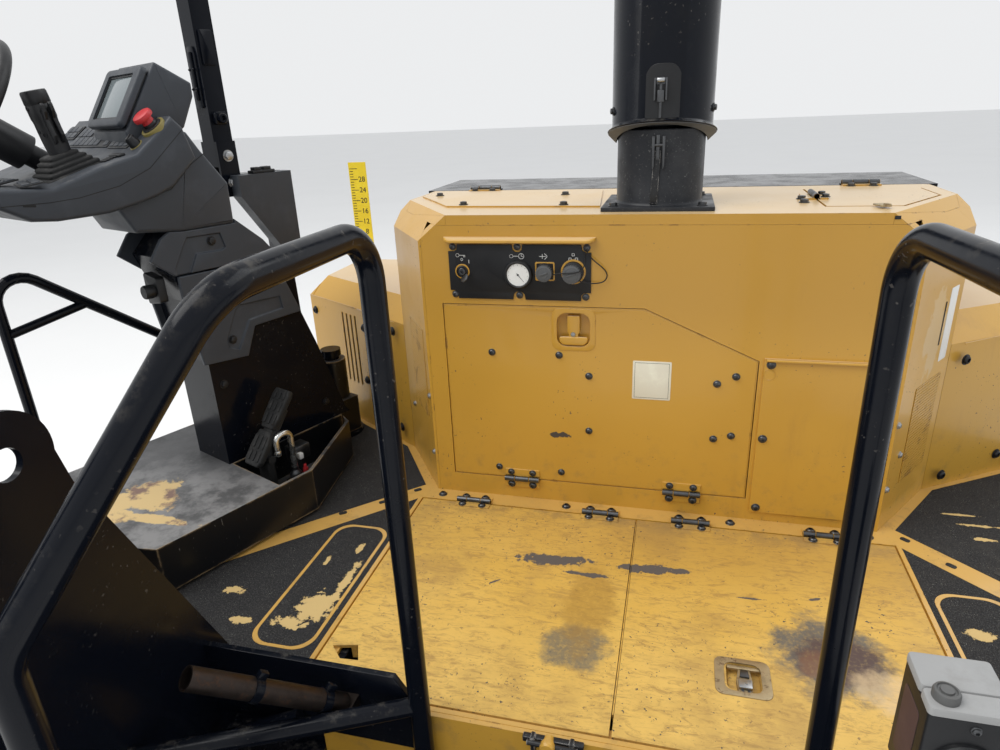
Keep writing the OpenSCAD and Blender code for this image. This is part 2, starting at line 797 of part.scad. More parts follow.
sleeve_r = pivot_r + 20;
module pivot_post() {
    color(gloss_black) translate([pivot_x, pivot_y, deck_z]) {
        cylinder(r = 80, h = platform_gap - 1);
        cylinder(r = pivot_r, h = 300);
        translate([0, 0, 300 - 12]) cylinder(r = pivot_r + 8, h = 22);
    }
}

tray = [
    [-219, -882], [295, -882], [369, -843], [369, -397], [203, -120], [60, -70], [60, 45], [-60, 45], [-219, -200]];
well = [[pedestal_w0 + pedestal_w + 4, -500], [360, -500], [360, -400], [196, -128], [pedestal_w0 + pedestal_w + 4, -96]];
module platform_tray() {
    color(gloss_black) on_platform() difference() {
        union() {
            difference() {
                translate([0, 0, platform_gap]) linear_extrude(platform_h - platform_gap) polygon(tray);
                translate([0, 0, platform_gap - 1]) linear_extrude(platform_h - platform_gap - platform_t + 1)
                    polygon(inset([tray[0], tray[1], tray[2], [369, -520], [-219, -520]], platform_t));
                translate([0, 0, platform_gap + platform_t]) linear_extrude(platform_h) polygon(well);
            }
            translate([0, 0, platform_gap]) cylinder(r = sleeve_r, h = 275 - platform_gap);
        }
        translate([0, 0, -1]) cylinder(r = pivot_r + running, h = 400);
    }
}

module platform_side(outline, x, t) {
    on_platform() side_plate(outline, x, t);
}

pedestal_side = [
    [0, platform_h], [449, platform_h], [432, 159], [360, 391], [315, 516], [279, 640], [222, 719], [145, 800],
    [0, 800], [-60, 740], [-20, 620], [0, 445]];
module pedestal() {
    color(gloss_black) platform_side(shifted(pedestal_side, [pedestal_y, 0]), pedestal_w0, pedestal_w);
}

cover_low_side = [[-16, 445], [116, 433], [152, 512], [311, 516], [273, 616], [240, 690], [-36, 690], [-36, 600]];
cover_high_side = [[-42, 694], [262, 694], [222, 745], [145, 812], [16, 833], [-60, 790], [-97, 740]];
module side_covers(outline) {
    for (x = [pedestal_w0 - 12, pedestal_w0 + pedestal_w])
        platform_side(shifted(outline, [pedestal_y, 0]), x, 12);
}

module pedestal_cover_lower() {
    color(plastic_grey) side_covers(cover_low_side);
}

module pedestal_cover_upper() {
    color(plastic_grey) difference() {
        side_covers(cover_high_side);
        console_body();
    }
}

desk_side = [
    [-385, 905], [-330, 872], [-279, 866], [-173, 868], [-89, 884], [-51, 894], [-10, 910], [60, 972], [40, 1044],
    [16, 1070], [-3, 1053], [-83, 991], [-168, 970], [-276, 936], [-340, 940], [-380, 943]];
neck_side = [
    [-143, 872], [-114, 813], [0, 800], [145, 800], [147, 903], [87, 989], [58, 1036], [-100, 930]];
neck_side_t = 14;
module console_body() {
    color(plastic_grey) {
        platform_side(shifted(desk_side, [pedestal_y, 0]), desk_left, desk_right - desk_left);
        platform_side(shifted(neck_side, [pedestal_y, 0]), pedestal_w0 - neck_side_t, pedestal_w + 2 * neck_side_t);
    }
}

screen_place = [1, pedestal_y - 28, 1120];
screen_lean = 32.4;
screen_turn = -4.6;
bezel = [213, 14, 155];
housing_side = [[18, -83], [40, -110], [100, -100], [138, -3], [131, 76], [115, 103], [18, 99]];
module display() {
    color(plastic_grey) difference() {
        on_platform() translate(screen_place) rotate([0, 0, screen_turn]) rotate([-screen_lean, 0, 0]) {
            translate([-bezel.x / 2, 0, -bezel.z / 2]) cube(bezel);
            translate([-bezel.x / 2 + 12, bezel.y, -bezel.z / 2 + 8]) cube([bezel.x - 24, 10, bezel.z - 16]);
            side_plate(housing_side, -bezel.x / 2, bezel.x);
        }
        console_body();
    }
}

stick_place = [60, pedestal_y - 191, 955];
stick_lean = 10;
desk_slope = 16;
boot_step = 10;
boot_steps = 5;
boot_size = [118, 136];
boot_taper = [13, 17];
module joystick_boot() {
    color(gloss_black) difference() {
        on_platform() translate(stick_place) rotate([desk_slope, 0, 0]) for (i = [0 : boot_steps - 1]) {
            drop = i > 0 ? 0 : 20;
            translate([-(boot_size.x - i * boot_taper.x) / 2, -(boot_size.y - i * boot_taper.y) / 2, i * boot_step - drop])
                cube([boot_size.x - i * boot_taper.x, boot_size.y - i * boot_taper.y, boot_step + drop]);
        }
        console_body();
    }
}

stick_waist = 112;
stick_l = 182;
module joystick() {
    color(gloss_black) difference() {
        on_platform() translate(stick_place) rotate([stick_lean, 0, 0]) {
            translate([0, 0, boot_steps * boot_step - 8]) cylinder(r = 22, h = stick_waist - boot_steps * boot_step + 8);
            translate([0, 0, stick_waist]) cylinder(r = 27, h = stick_l - stick_waist);
            translate([16, -14, boot_steps * boot_step + 16]) cube([34, 28, 96]);
        }
        joystick_boot();
    }
}

stop_place = [143, pedestal_y - 13, 1043];
rim_slope = 38;
module emergency_stop() {
    difference() {
        on_platform() translate(stop_place) rotate([rim_slope, 0, 0]) {
            color("gold") translate([0, 0, -5]) cylinder(r = 31, h = 15);
            color("red") cylinder(r = 16, h = 32);
            color("red") translate([0, 0, 30]) cylinder(r = 24, h = 14);
        }
        console_body();
    }
}

knob_place = [132, pedestal_y - 58, 1007];
module rotary_knob() {
    color(gloss_black) difference() {
        on_platform() translate(knob_place) rotate([rim_slope, 0, 0]) translate([0, 0, -8]) cylinder(r = 14, h = 34);
        console_body();
    }
}

module foot_pedal() {
    color(gloss_black) on_platform() {
        translate([185, 0, 0]) side_plate([[-497, 146], [-480, 140], [-352, 305], [-370, 316]], 0, 62);
        rod([150, -440, 150], [250, -440, 150], 12);
        translate([190, -452, platform_gap + platform_t]) cube([50, 24, 178]);
    }
}

module brake_lever() {
    color("silver") on_platform() {
        bent_tube([[250, -372, platform_gap + platform_t], [250, -372, 215], [250, -420, 215], [250, -420, 170]], 9, 20);
    }
}

guard_x = tray[0].x + 14;
guard_front = -250;
guard_back = -845;
guard_rail_r = 14;
module guard_rail() {
    color(gloss_black) on_platform() {
        bent_tube([
            [guard_x, guard_front, platform_h], [guard_x, guard_front, 290], [guard_x, guard_back, 765],
            [guard_x, guard_back, platform_h]], guard_rail_r, 60);
        rod([guard_x, -640, 600], [guard_x, guard_back, 560], guard_rail_r - 2);
    }
}

mast_x = -96;
mast_y = -222;
cheek_t = 10;
mast_pin_r = 9;
mast_foot = [mast_x - mast_w / 2, mast_y - mast_w / 2];
mast_arm_z = 905;
beam_foot = [-54, -84, platform_h];
beam_head = [mast_x, -76, mast_arm_z - 30];
beam_w = 46;
module mast_base() {
    color(gloss_black) on_platform() {
        difference() {
            bar(beam_foot - [0, 0, 20], beam_head, beam_w);
            translate(beam_foot - [80, 80, 100]) cube([160, 160, 100]);
        }
        translate([mast_foot.x, mast_foot.y, mast_arm_z - 60]) cube([mast_w, -46 - mast_foot.y, 60]);
        for (x = [mast_foot.x - cheek_t, mast_foot.x + mast_w])
            translate([x, mast_foot.y, mast_arm_z - 60]) cube([cheek_t, mast_w, mast_pin_z + 40 - mast_arm_z + 60]);
        translate([mast_foot.x - cheek_t, mast_y, mast_pin_z]) rotate([0, 90, 0])
            cylinder(r = mast_pin_r, h = mast_w + 2 * cheek_t);
    }
}

bracket_w = 44;
module mast_bracket() {
    color(plastic_grey) platform_side([
        [-228, mast_arm_z - 60], [-90, 640], [-46, 686], [-46, mast_arm_z], [-228, mast_arm_z]],
        mast_foot.x + mast_w + cheek_t, bracket_w);
}

module mast() {
    color(gloss_black) on_platform() difference() {
        translate([mast_foot.x + slack, mast_foot.y, mast_pin_z - 30])
            cube([mast_w - 2 * slack, mast_w, mast_top - mast_pin_z]);
        translate([mast_foot.x - 1, mast_y, mast_pin_z]) rotate([0, 90, 0])
            cylinder(r = mast_pin_r + running, h = mast_w + 2);
    }
}

column_base = [-80, pedestal_y - 194, 985];
column_lean = 54;
column_l = 158;
hub_h = 24;
shaft_r = 12;
module on_column() {
    on_platform() translate(column_base) rotate([column_lean, 0, 0]) children();
}

module steering_column() {
    color(gloss_black) difference() {
        on_column() {
            translate([0, 0, -70]) cylinder(r = 26, h = column_l + 70);
            translate([0, 0, 32]) cylinder(r = 42, h = column_l - 50);
            translate([0, 0, column_l - 1]) cylinder(r = shaft_r, h = hub_h - 4);
        }
        console_body();
    }
}

module steering_wheel() {
    color(gloss_black) on_column() translate([0, 0, column_l + slack]) difference() {
        union() {
            cylinder(r = 45, h = hub_h);
            translate([0, 0, 12]) rotate_extrude() translate([wheel_r, 0]) circle(wheel_rim_r);
            for (a = [90, 210, 330]) rotate([0, 0, a]) translate([30, -14, 6]) cube([wheel_r - 36, 28, 12]);
        }
        translate([0, 0, -1]) cylinder(r = shaft_r + running, h = hub_h - 3);
    }
}

scale_size = [72, 6, 385];
scale_edge = 26;
module level_scale() {
    color("gold") translate([-box_half_w + box_h - box_face_h, box_front - scale_edge, deck_z + box_h])
        cube(scale_size);
}

// Seat

cushion_z = shelf_z + 154;
base_half = 190;
module seat_base() {
    color(gloss_black) {
        translate([seat_x, seat_y, shelf_z + running]) cylinder(r = 90, h = 20);
        translate([seat_x - base_half, seat_y - base_half, shelf_z + 20])
            cube([2 * base_half, 2 * base_half, cushion_z - shelf_z - 20]);
    }
}

module seat_cushion() {
    color(gloss_black) translate([seat_x - seat_w / 2, seat_y - seat_l / 2, cushion_z])
        cube([seat_w, seat_l, seat_t]);
}

back_lean = 10;
back_t = 90;
module seat_back() {
    color(gloss_black) {
        translate([seat_x - seat_w / 2, seat_y - seat_l / 2 - 20, cushion_z + 20])
            rotate([back_lean, 0, 0]) translate([0, -back_t, 0]) cube([seat_w, back_t, back_h]);
        translate([seat_x - 100, seat_y - seat_l / 2 - 90, cushion_z - 30])
            cube([200, seat_l / 2 - base_half + 90, 30]);
        translate([seat_x - 100, seat_y - seat_l / 2 - 90, cushion_z - 30]) cube([200, 30, 180]);
    }
}

arm_gap = 6;
arm_size = [60, 330, 45];
arm_z = cushion_z + seat_t + 110;
arm_root = seat_y - seat_l / 2 - 80;
module armrests() {
    for (s = [-1, 1]) color(gloss_black) {
        x = seat_x + s * (seat_w / 2 + arm_gap + arm_size.x / 2);
        x0 = s > 0 ? seat_x + seat_w / 2 : seat_x - seat_w / 2 - arm_gap - 18;
        translate([x - arm_size.x / 2, arm_root + 80, arm_z]) cube(arm_size);
        translate([x - 15, arm_root, arm_z - 20]) cube([30, 90, 60]);
        translate([x0, arm_root, arm_z - 20]) cube([arm_gap + 18, 50, 60]);
    }
}

deck_frame();
deck_pan();
walkway_left();
walkway_right();
walk_hatches();
rear_bulkhead();
rear_step();
handrail_left();
handrail_right();
rear_guard();
junction_box();
seat_support();
stowed_bar();
hood_rear_wall();
hood_corner_left();
hood_corner_right();
hood_side_left();
hood_side_right();
hood_top();
top_cover_plate();
front_bulkhead();
engine_block();
bolted_panel();
instrument_panel();
side_box_left();
side_box_right();
stack_base();
pivot_post();
level_scale();
floor_door_left();
floor_door_right();
service_door();
fill_lid();
engine_cover();
stack_upper();
platform_tray();
pedestal();
pedestal_cover_lower();
pedestal_cover_upper();
console_body();
display();
joystick();
joystick_boot();
emergency_stop();
rotary_knob();
foot_pedal();
brake_lever();
guard_rail();
mast_base();
mast_bracket();
mast();
steering_column();
steering_wheel();
seat_base();
seat_cushion();
seat_back();
armrests();
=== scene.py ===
"""Looks of the operator's station of an asphalt paver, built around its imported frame. Metres, +Y forwards, +Z up."""
import json
import math

import bmesh
import bpy
from mathutils import Matrix, Vector
from mathutils.bvhtree import BVHTree

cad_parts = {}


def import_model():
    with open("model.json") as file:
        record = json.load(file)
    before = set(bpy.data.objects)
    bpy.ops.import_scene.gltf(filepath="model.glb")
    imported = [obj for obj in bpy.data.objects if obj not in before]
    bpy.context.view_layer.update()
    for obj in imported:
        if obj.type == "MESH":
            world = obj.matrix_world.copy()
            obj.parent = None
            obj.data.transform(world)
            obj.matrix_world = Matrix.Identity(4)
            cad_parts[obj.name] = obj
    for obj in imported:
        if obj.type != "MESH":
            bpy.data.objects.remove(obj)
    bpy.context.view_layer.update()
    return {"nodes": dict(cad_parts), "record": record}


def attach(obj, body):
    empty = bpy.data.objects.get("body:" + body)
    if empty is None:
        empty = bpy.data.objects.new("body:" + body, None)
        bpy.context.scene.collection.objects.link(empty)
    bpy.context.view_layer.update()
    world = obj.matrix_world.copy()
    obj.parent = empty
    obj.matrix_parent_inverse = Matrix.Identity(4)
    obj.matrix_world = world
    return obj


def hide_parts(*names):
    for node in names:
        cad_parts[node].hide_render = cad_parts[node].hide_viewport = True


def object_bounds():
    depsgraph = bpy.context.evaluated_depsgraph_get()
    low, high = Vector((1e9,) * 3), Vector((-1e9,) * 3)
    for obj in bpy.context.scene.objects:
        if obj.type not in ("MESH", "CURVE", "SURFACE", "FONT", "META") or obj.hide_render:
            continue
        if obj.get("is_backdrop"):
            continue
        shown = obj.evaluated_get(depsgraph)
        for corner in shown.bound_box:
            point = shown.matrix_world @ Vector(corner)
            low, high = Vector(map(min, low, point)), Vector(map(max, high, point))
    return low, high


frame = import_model()

DECK = 0.42
WALL_Y = 0.055
HOOD_H = 0.807
SWING = math.radians(23)
PIVOT = Vector((-1.08, 0.38, DECK))
PEDESTAL_Y = -0.509
X = Vector((1, 0, 0))
Y = Vector((0, 1, 0))
Z = Vector((0, 0, 1))

# Places

def deck(x, y, z=0.0):
    """Point given from the hinge line at deck level."""
    return Vector((x, y, z + DECK))


def move(x, y, z):
    return Matrix.Translation((x, y, z))


def turn(degrees, axis):
    return Matrix.Rotation(math.radians(degrees), 4, axis)


def frame_at(point, outward, up):
    """Matrix with its Z along outward, its Y near up and its origin at point."""
    z = outward.normalized()
    x = up.cross(z).normalized()
    return Matrix.Translation(point) @ Matrix((x, z.cross(x), z)).transposed().to_4x4()


def on_wall(x, z, out=0.0):
    """Frame on the hood's rear wall: X to the right, Y up, Z towards the operator."""
    return frame_at(deck(x, WALL_Y - out, z), -Y, Z)


def on_deck(x, y, up=0.0):
    return Matrix.Translation(deck(x, y, up))


def upright(x, y, outward_x, outward_y):
    """Frame at deck level on a vertical face: Y up, Z outward."""
    return frame_at(deck(x, y), Vector((outward_x, outward_y, 0)), Z)


PLATFORM = Matrix.Translation(PIVOT) @ Matrix.Rotation(-SWING, 4, "Z")


def on_platform(x, y, z, outward=Z, up=Y):
    """Frame on the platform, from its pivot's foot, with Z along outward."""
    return PLATFORM @ frame_at(Vector((x, y, z)), outward, up)


# Outlines

def round_rect(w, h, r, steps=5, at=(0, 0)):
    """Corners of a rectangle about a centre, rounded by r."""
    points = []
    for cx, cy, start in ((w / 2 - r, h / 2 - r, 0), (-w / 2 + r, h / 2 - r, 90),
                          (-w / 2 + r, -h / 2 + r, 180), (w / 2 - r, -h / 2 + r, 270)):
        for k in range(steps + 1):
            a = math.radians(start + 90 * k / steps)
            points.append((at[0] + cx + r * math.cos(a), at[1] + cy + r * math.sin(a)))
    return points


def disc(r, steps=32):
    return [(r * math.cos(2 * math.pi * k / steps), r * math.sin(2 * math.pi * k / steps)) for k in range(steps)]


def mm(points):
    """Points given in millimetres."""
    return [(x / 1000, y / 1000) for x, y in points]


def fillet(outline, radius, steps=4):
    """Closed outline with each corner rounded by a radius, or by its own from a list."""
    points = []
    n = len(outline)
    for i in range(n):
        a, b, c = (Vector(outline[(i + k) % n]) for k in (-1, 0, 1))
        r = radius[i] if isinstance(radius, (list, tuple)) else radius
        u, w = b - a, c - b
        bend = math.atan2(u.x * w.y - u.y * w.x, u.dot(w))
        if r <= 0 or abs(bend) < 0.02:
            points.append(tuple(b))
            continue
        reach = min(r * math.tan(abs(bend) / 2), 0.49 * u.length, 0.49 * w.length)
        r = reach / math.tan(abs(bend) / 2)
        u.normalize()
        side = Vector((-u.y, u.x)) * math.copysign(1, bend)
        centre = b - reach * u + r * side
        for k in range(steps + 1):
            t = abs(bend) * k / steps
            points.append(tuple(centre + r * (math.sin(t) * u - math.cos(t) * side)))
    return points


def anticlockwise(outline):
    area = sum(a[0] * b[1] - b[0] * a[1] for a, b in zip(outline, outline[1:] + outline[:1]))
    return outline if area > 0 else outline[::-1]


def offset(outline, t):
    """Anticlockwise outline with every side moved inwards by t."""
    if abs(t) < 1e-9:
        return [tuple(p) for p in outline]
    points = []
    n = len(outline)
    for i in range(n):
        a, b, c = (Vector(outline[(i + k) % n]) for k in (-1, 0, 1))
        u, w = (b - a).normalized(), (c - b).normalized()
        m, k = Vector((-u.y, u.x)), Vector((-w.y, w.x))
        points.append(tuple(b + t * (m + k) / max(0.3, 1 + m.dot(k))))
    return points


def rounded(path, bend, steps=12):
    """Points along a path of corners, each rounded by the radius bend."""
    path = [Vector(p) for p in path]
    points = [path[0]]
    for a, b, c in zip(path, path[1:], path[2:]):
        u = (b - a).normalized()
        w = (c - b).normalized()
        angle = u.angle(w)
        inward = (w - w.dot(u) * u).normalized()
        centre = b - bend * math.tan(angle / 2) * u + bend * inward
        for k in range(steps + 1):
            t = angle * k / steps
            points.append(centre + bend * (math.sin(t) * u - math.cos(t) * inward))
    points.append(path[-1])
    return points


def spline(path, steps=8):
    """Smooth curve through the points of a path."""
    path = [Vector(p) for p in path]
    path = [2 * path[0] - path[1]] + path + [2 * path[-1] - path[-2]]
    points = []
    for a, b, c, d in zip(path, path[1:], path[2:], path[3:]):
        for k in range(steps):
            t = k / steps
            points.append(0.5 * (2 * b + (c - a) * t + (2 * a - 5 * b + 4 * c - d) * t * t
                                 + (3 * b - 3 * c + d - a) * t ** 3))
    return points + [path[-2]]


# Mesh building

def put(name, data):
    """New object in the scene."""
    obj = bpy.data.objects.new(name, data)
    bpy.context.scene.collection.objects.link(obj)
    return obj


def make_mesh(name, bm):
    mesh = bpy.data.meshes.new(name)
    bm.to_mesh(mesh)
    bm.free()
    return mesh


def weld(bm, dist=1e-6):
    bmesh.ops.remove_doubles(bm, verts=bm.verts[:], dist=dist)


class Piece:
    """Gathers solids in one mesh; each is given in metres in the frame of its own matrix."""

    def __init__(self, name):
        self.name = name
        self.bm = bmesh.new()

    def loft(self, loops, matrix=None, closed=True):
        """Skin over loops of equal length, with its ends closed."""
        matrix = matrix or Matrix()
        rows = [[self.bm.verts.new(matrix @ Vector(p)) for p in loop] for loop in loops]
        n = len(rows[0])
        for a, b in zip(rows, rows[1:]):
            for i in range(n):
                j = (i + 1) % n
                self.bm.faces.new((a[i], a[j], b[j], b[i]))
        if closed:
            self.bm.faces.new(rows[0][::-1])
            self.bm.faces.new(rows[-1])

    def slab(self, outline, z0, z1, r=0.0, matrix=None, steps=2, low_r=0.0):
        """Outline in X and Y raised from z0 to z1, its top edge rounded by r and its low one by low_r."""
        outline = anticlockwise([tuple(p) for p in outline])
        levels = []
        for k in range(steps + 1 if low_r else 0):
            a = math.pi / 2 * k / steps
            levels.append((low_r * (1 - math.sin(a)), z0 + low_r * (1 - math.cos(a))))
        if not low_r:
            levels.append((0, z0))
        for k in range(steps + 1 if r else 0):
            a = math.pi / 2 * k / steps
            levels.append((r * (1 - math.cos(a)), z1 - r * (1 - math.sin(a))))
        if not r:
            levels.append((0, z1))
        self.loft([[(x, y, z) for x, y in offset(outline, t)] for t, z in levels], matrix)

    def box(self, low, high, matrix=None, bevel=0.0):
        """Box between two corners, its edges rounded by bevel."""
        (x0, y0, z0), (x1, y1, z1) = low, high
        part = bmesh.new()
        v = [part.verts.new(p) for p in (
            (x0, y0, z0), (x1, y0, z0), (x1, y1, z0), (x0, y1, z0),
            (x0, y0, z1), (x1, y0, z1), (x1, y1, z1), (x0, y1, z1))]
        for f in ((0, 3, 2, 1), (4, 5, 6, 7), (0, 1, 5, 4), (1, 2, 6, 5), (2, 3, 7, 6), (3, 0, 4, 7)):
            part.faces.new([v[i] for i in f])
        if bevel > 0:
            bmesh.ops.bevel(part, geom=part.edges[:], offset=bevel, segments=2, profile=0.5, affect="EDGES")
        bmesh.ops.transform(part, matrix=matrix or Matrix(), verts=part.verts[:])
        mesh = make_mesh("part", part)
        self.bm.from_mesh(mesh)
        bpy.data.meshes.remove(mesh)

    def rings(self, profile, matrix=None, steps=32):
        """Solid of revolution from (radius, height) pairs; a third value of 1 makes that ring a hexagon."""
        matrix = matrix or Matrix()
        loops = []
        for entry in profile:
            r, z = entry[0], entry[1]
            if r == 0:
                loops.append([self.bm.verts.new(matrix @ Vector((0, 0, z)))])
                continue
            loop = []
            for i in range(steps):
                a = 2 * math.pi * i / steps
                sector = math.pi / 3
                reach = r / math.cos(a % sector - sector / 2) if len(entry) > 2 else r
                loop.append(self.bm.verts.new(matrix @ Vector((reach * math.cos(a), reach * math.sin(a), z))))
            loops.append(loop)
        for a, b in zip(loops, loops[1:]):
            for i in range(steps):
                j = (i + 1) % steps
                if len(a) == 1:
                    self.bm.faces.new((a[0], b[j], b[i]))
                elif len(b) == 1:
                    self.bm.faces.new((a[i], a[j], b[0]))
                else:
                    self.bm.faces.new((a[i], a[j], b[j], b[i]))

    def rod(self, r, z0, z1, matrix, steps):
        self.rings([(0, z0), (r, z0), (r, z1), (0, z1)], matrix, steps)

    def ring(self, outer, inner, z0, z1, r, matrix):
        """Flat ring between two outlines of as many points, its outer top edge rounded."""
        loops = [[(x, y, z0) for x, y in outer]]
        for k in range(3):
            a = math.pi / 4 * k
            loops.append([(x, y, z1 - r * (1 - math.sin(a))) for x, y in offset(outer, r * (1 - math.cos(a)))])
        loops += [[(x, y, z1) for x, y in inner], [(x, y, z0) for x, y in inner], loops[0]]
        self.loft(loops, matrix, closed=False)
        weld(self.bm, 1e-7)

    def tube(self, points, r, sides=20):
        """Tube swept along points."""
        points = [Vector(p) for p in points]
        last = len(points) - 1
        tangents = [(points[min(i + 1, last)] - points[max(i - 1, 0)]).normalized() for i in range(last + 1)]
        normal = tangents[0].orthogonal().normalized()
        loops = []
        for p, t in zip(points, tangents):
            normal = (normal - normal.dot(t) * t).normalized()
            side = t.cross(normal)
            loops.append([p + r * (math.cos(2 * math.pi * k / sides) * normal
                                   + math.sin(2 * math.pi * k / sides) * side) for k in range(sides)])
        self.loft(loops)

    def screw(self, matrix, r=0.0085):
        """Button head with a hexagon socket on a washer."""
        w = r * 1.3
        self.rings([(0, 0), (w, 0), (w, 0.0012), (w - 0.0006, 0.0018), (r, 0.0018), (r, 0.0018 + 0.3 * r),
                    (0.84 * r, 0.0018 + 0.5 * r), (0.56 * r, 0.0018 + 0.62 * r), (0.48 * r, 0.0018 + 0.62 * r, 1),
                    (0.46 * r, 0.0018 + 0.2 * r, 1), (0, 0.0018 + 0.2 * r)], matrix, 24)

    def hex_bolt(self, matrix, r=0.009):
        w = r * 1.35
        self.rings([(0, 0), (w, 0), (w, 0.002), (0.9 * r, 0.002), (0.9 * r, 0.0022, 1), (0.9 * r, 0.0022 + 0.62 * r, 1),
                    (0.74 * r, 0.0022 + 0.72 * r), (0, 0.0022 + 0.72 * r)], matrix, 24)

    def done(self, material, body, slot=None, smooth=35, replaces=(), bevel=0.0):
        """Make the object on a body, smooth below an angle; its slot argument is not used."""
        bmesh.ops.recalc_face_normals(self.bm, faces=self.bm.faces[:])
        mesh = make_mesh(self.name, self.bm)
        obj = put(self.name, mesh)
        mesh.materials.append(material)
        mesh.shade_smooth()
        mesh.set_sharp_from_angle(angle=math.radians(smooth))
        if bevel:
            soften(obj, bevel)
        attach(obj, body)
        if replaces:
            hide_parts(*replaces)
        return obj


def soften(obj, width):
    """Small round on the object's sharp edges."""
    bevel = obj.modifiers.new("soften", "BEVEL")
    bevel.width = width
    bevel.segments = 2
    bevel.limit_method = "ANGLE"
    bevel.angle_limit = math.radians(35)
    bevel.harden_normals = True


def carve(node, cutter, material, body, bevel=0.0015):
    """Stand a copy of a CAD node in its place, with the cutter's room taken out."""
    def clean(bm):
        weld(bm)
        bmesh.ops.dissolve_limit(bm, angle_limit=0.01, verts=bm.verts[:], edges=bm.edges[:])

    source = bmesh.new()
    source.from_mesh(frame["nodes"][node].data)
    clean(source)
    whole = put(node + "_cut", make_mesh(node + "_cut", source))
    bmesh.ops.recalc_face_normals(cutter.bm, faces=cutter.bm.faces[:])
    tool = put("cutter", make_mesh("cutter", cutter.bm))
    cut = whole.modifiers.new("cut", "BOOLEAN")
    cut.operation = "DIFFERENCE"
    cut.solver = "EXACT"
    cut.object = tool
    bpy.context.view_layer.update()
    result = bpy.data.meshes.new_from_object(whole.evaluated_get(bpy.context.evaluated_depsgraph_get()))
    bpy.data.objects.remove(whole)
    bpy.data.objects.remove(tool)
    piece = Piece(node + "_carved")
    piece.bm.from_mesh(result)
    clean(piece.bm)
    return piece.done(material, body, replaces=(node,), bevel=bevel)


# Materials

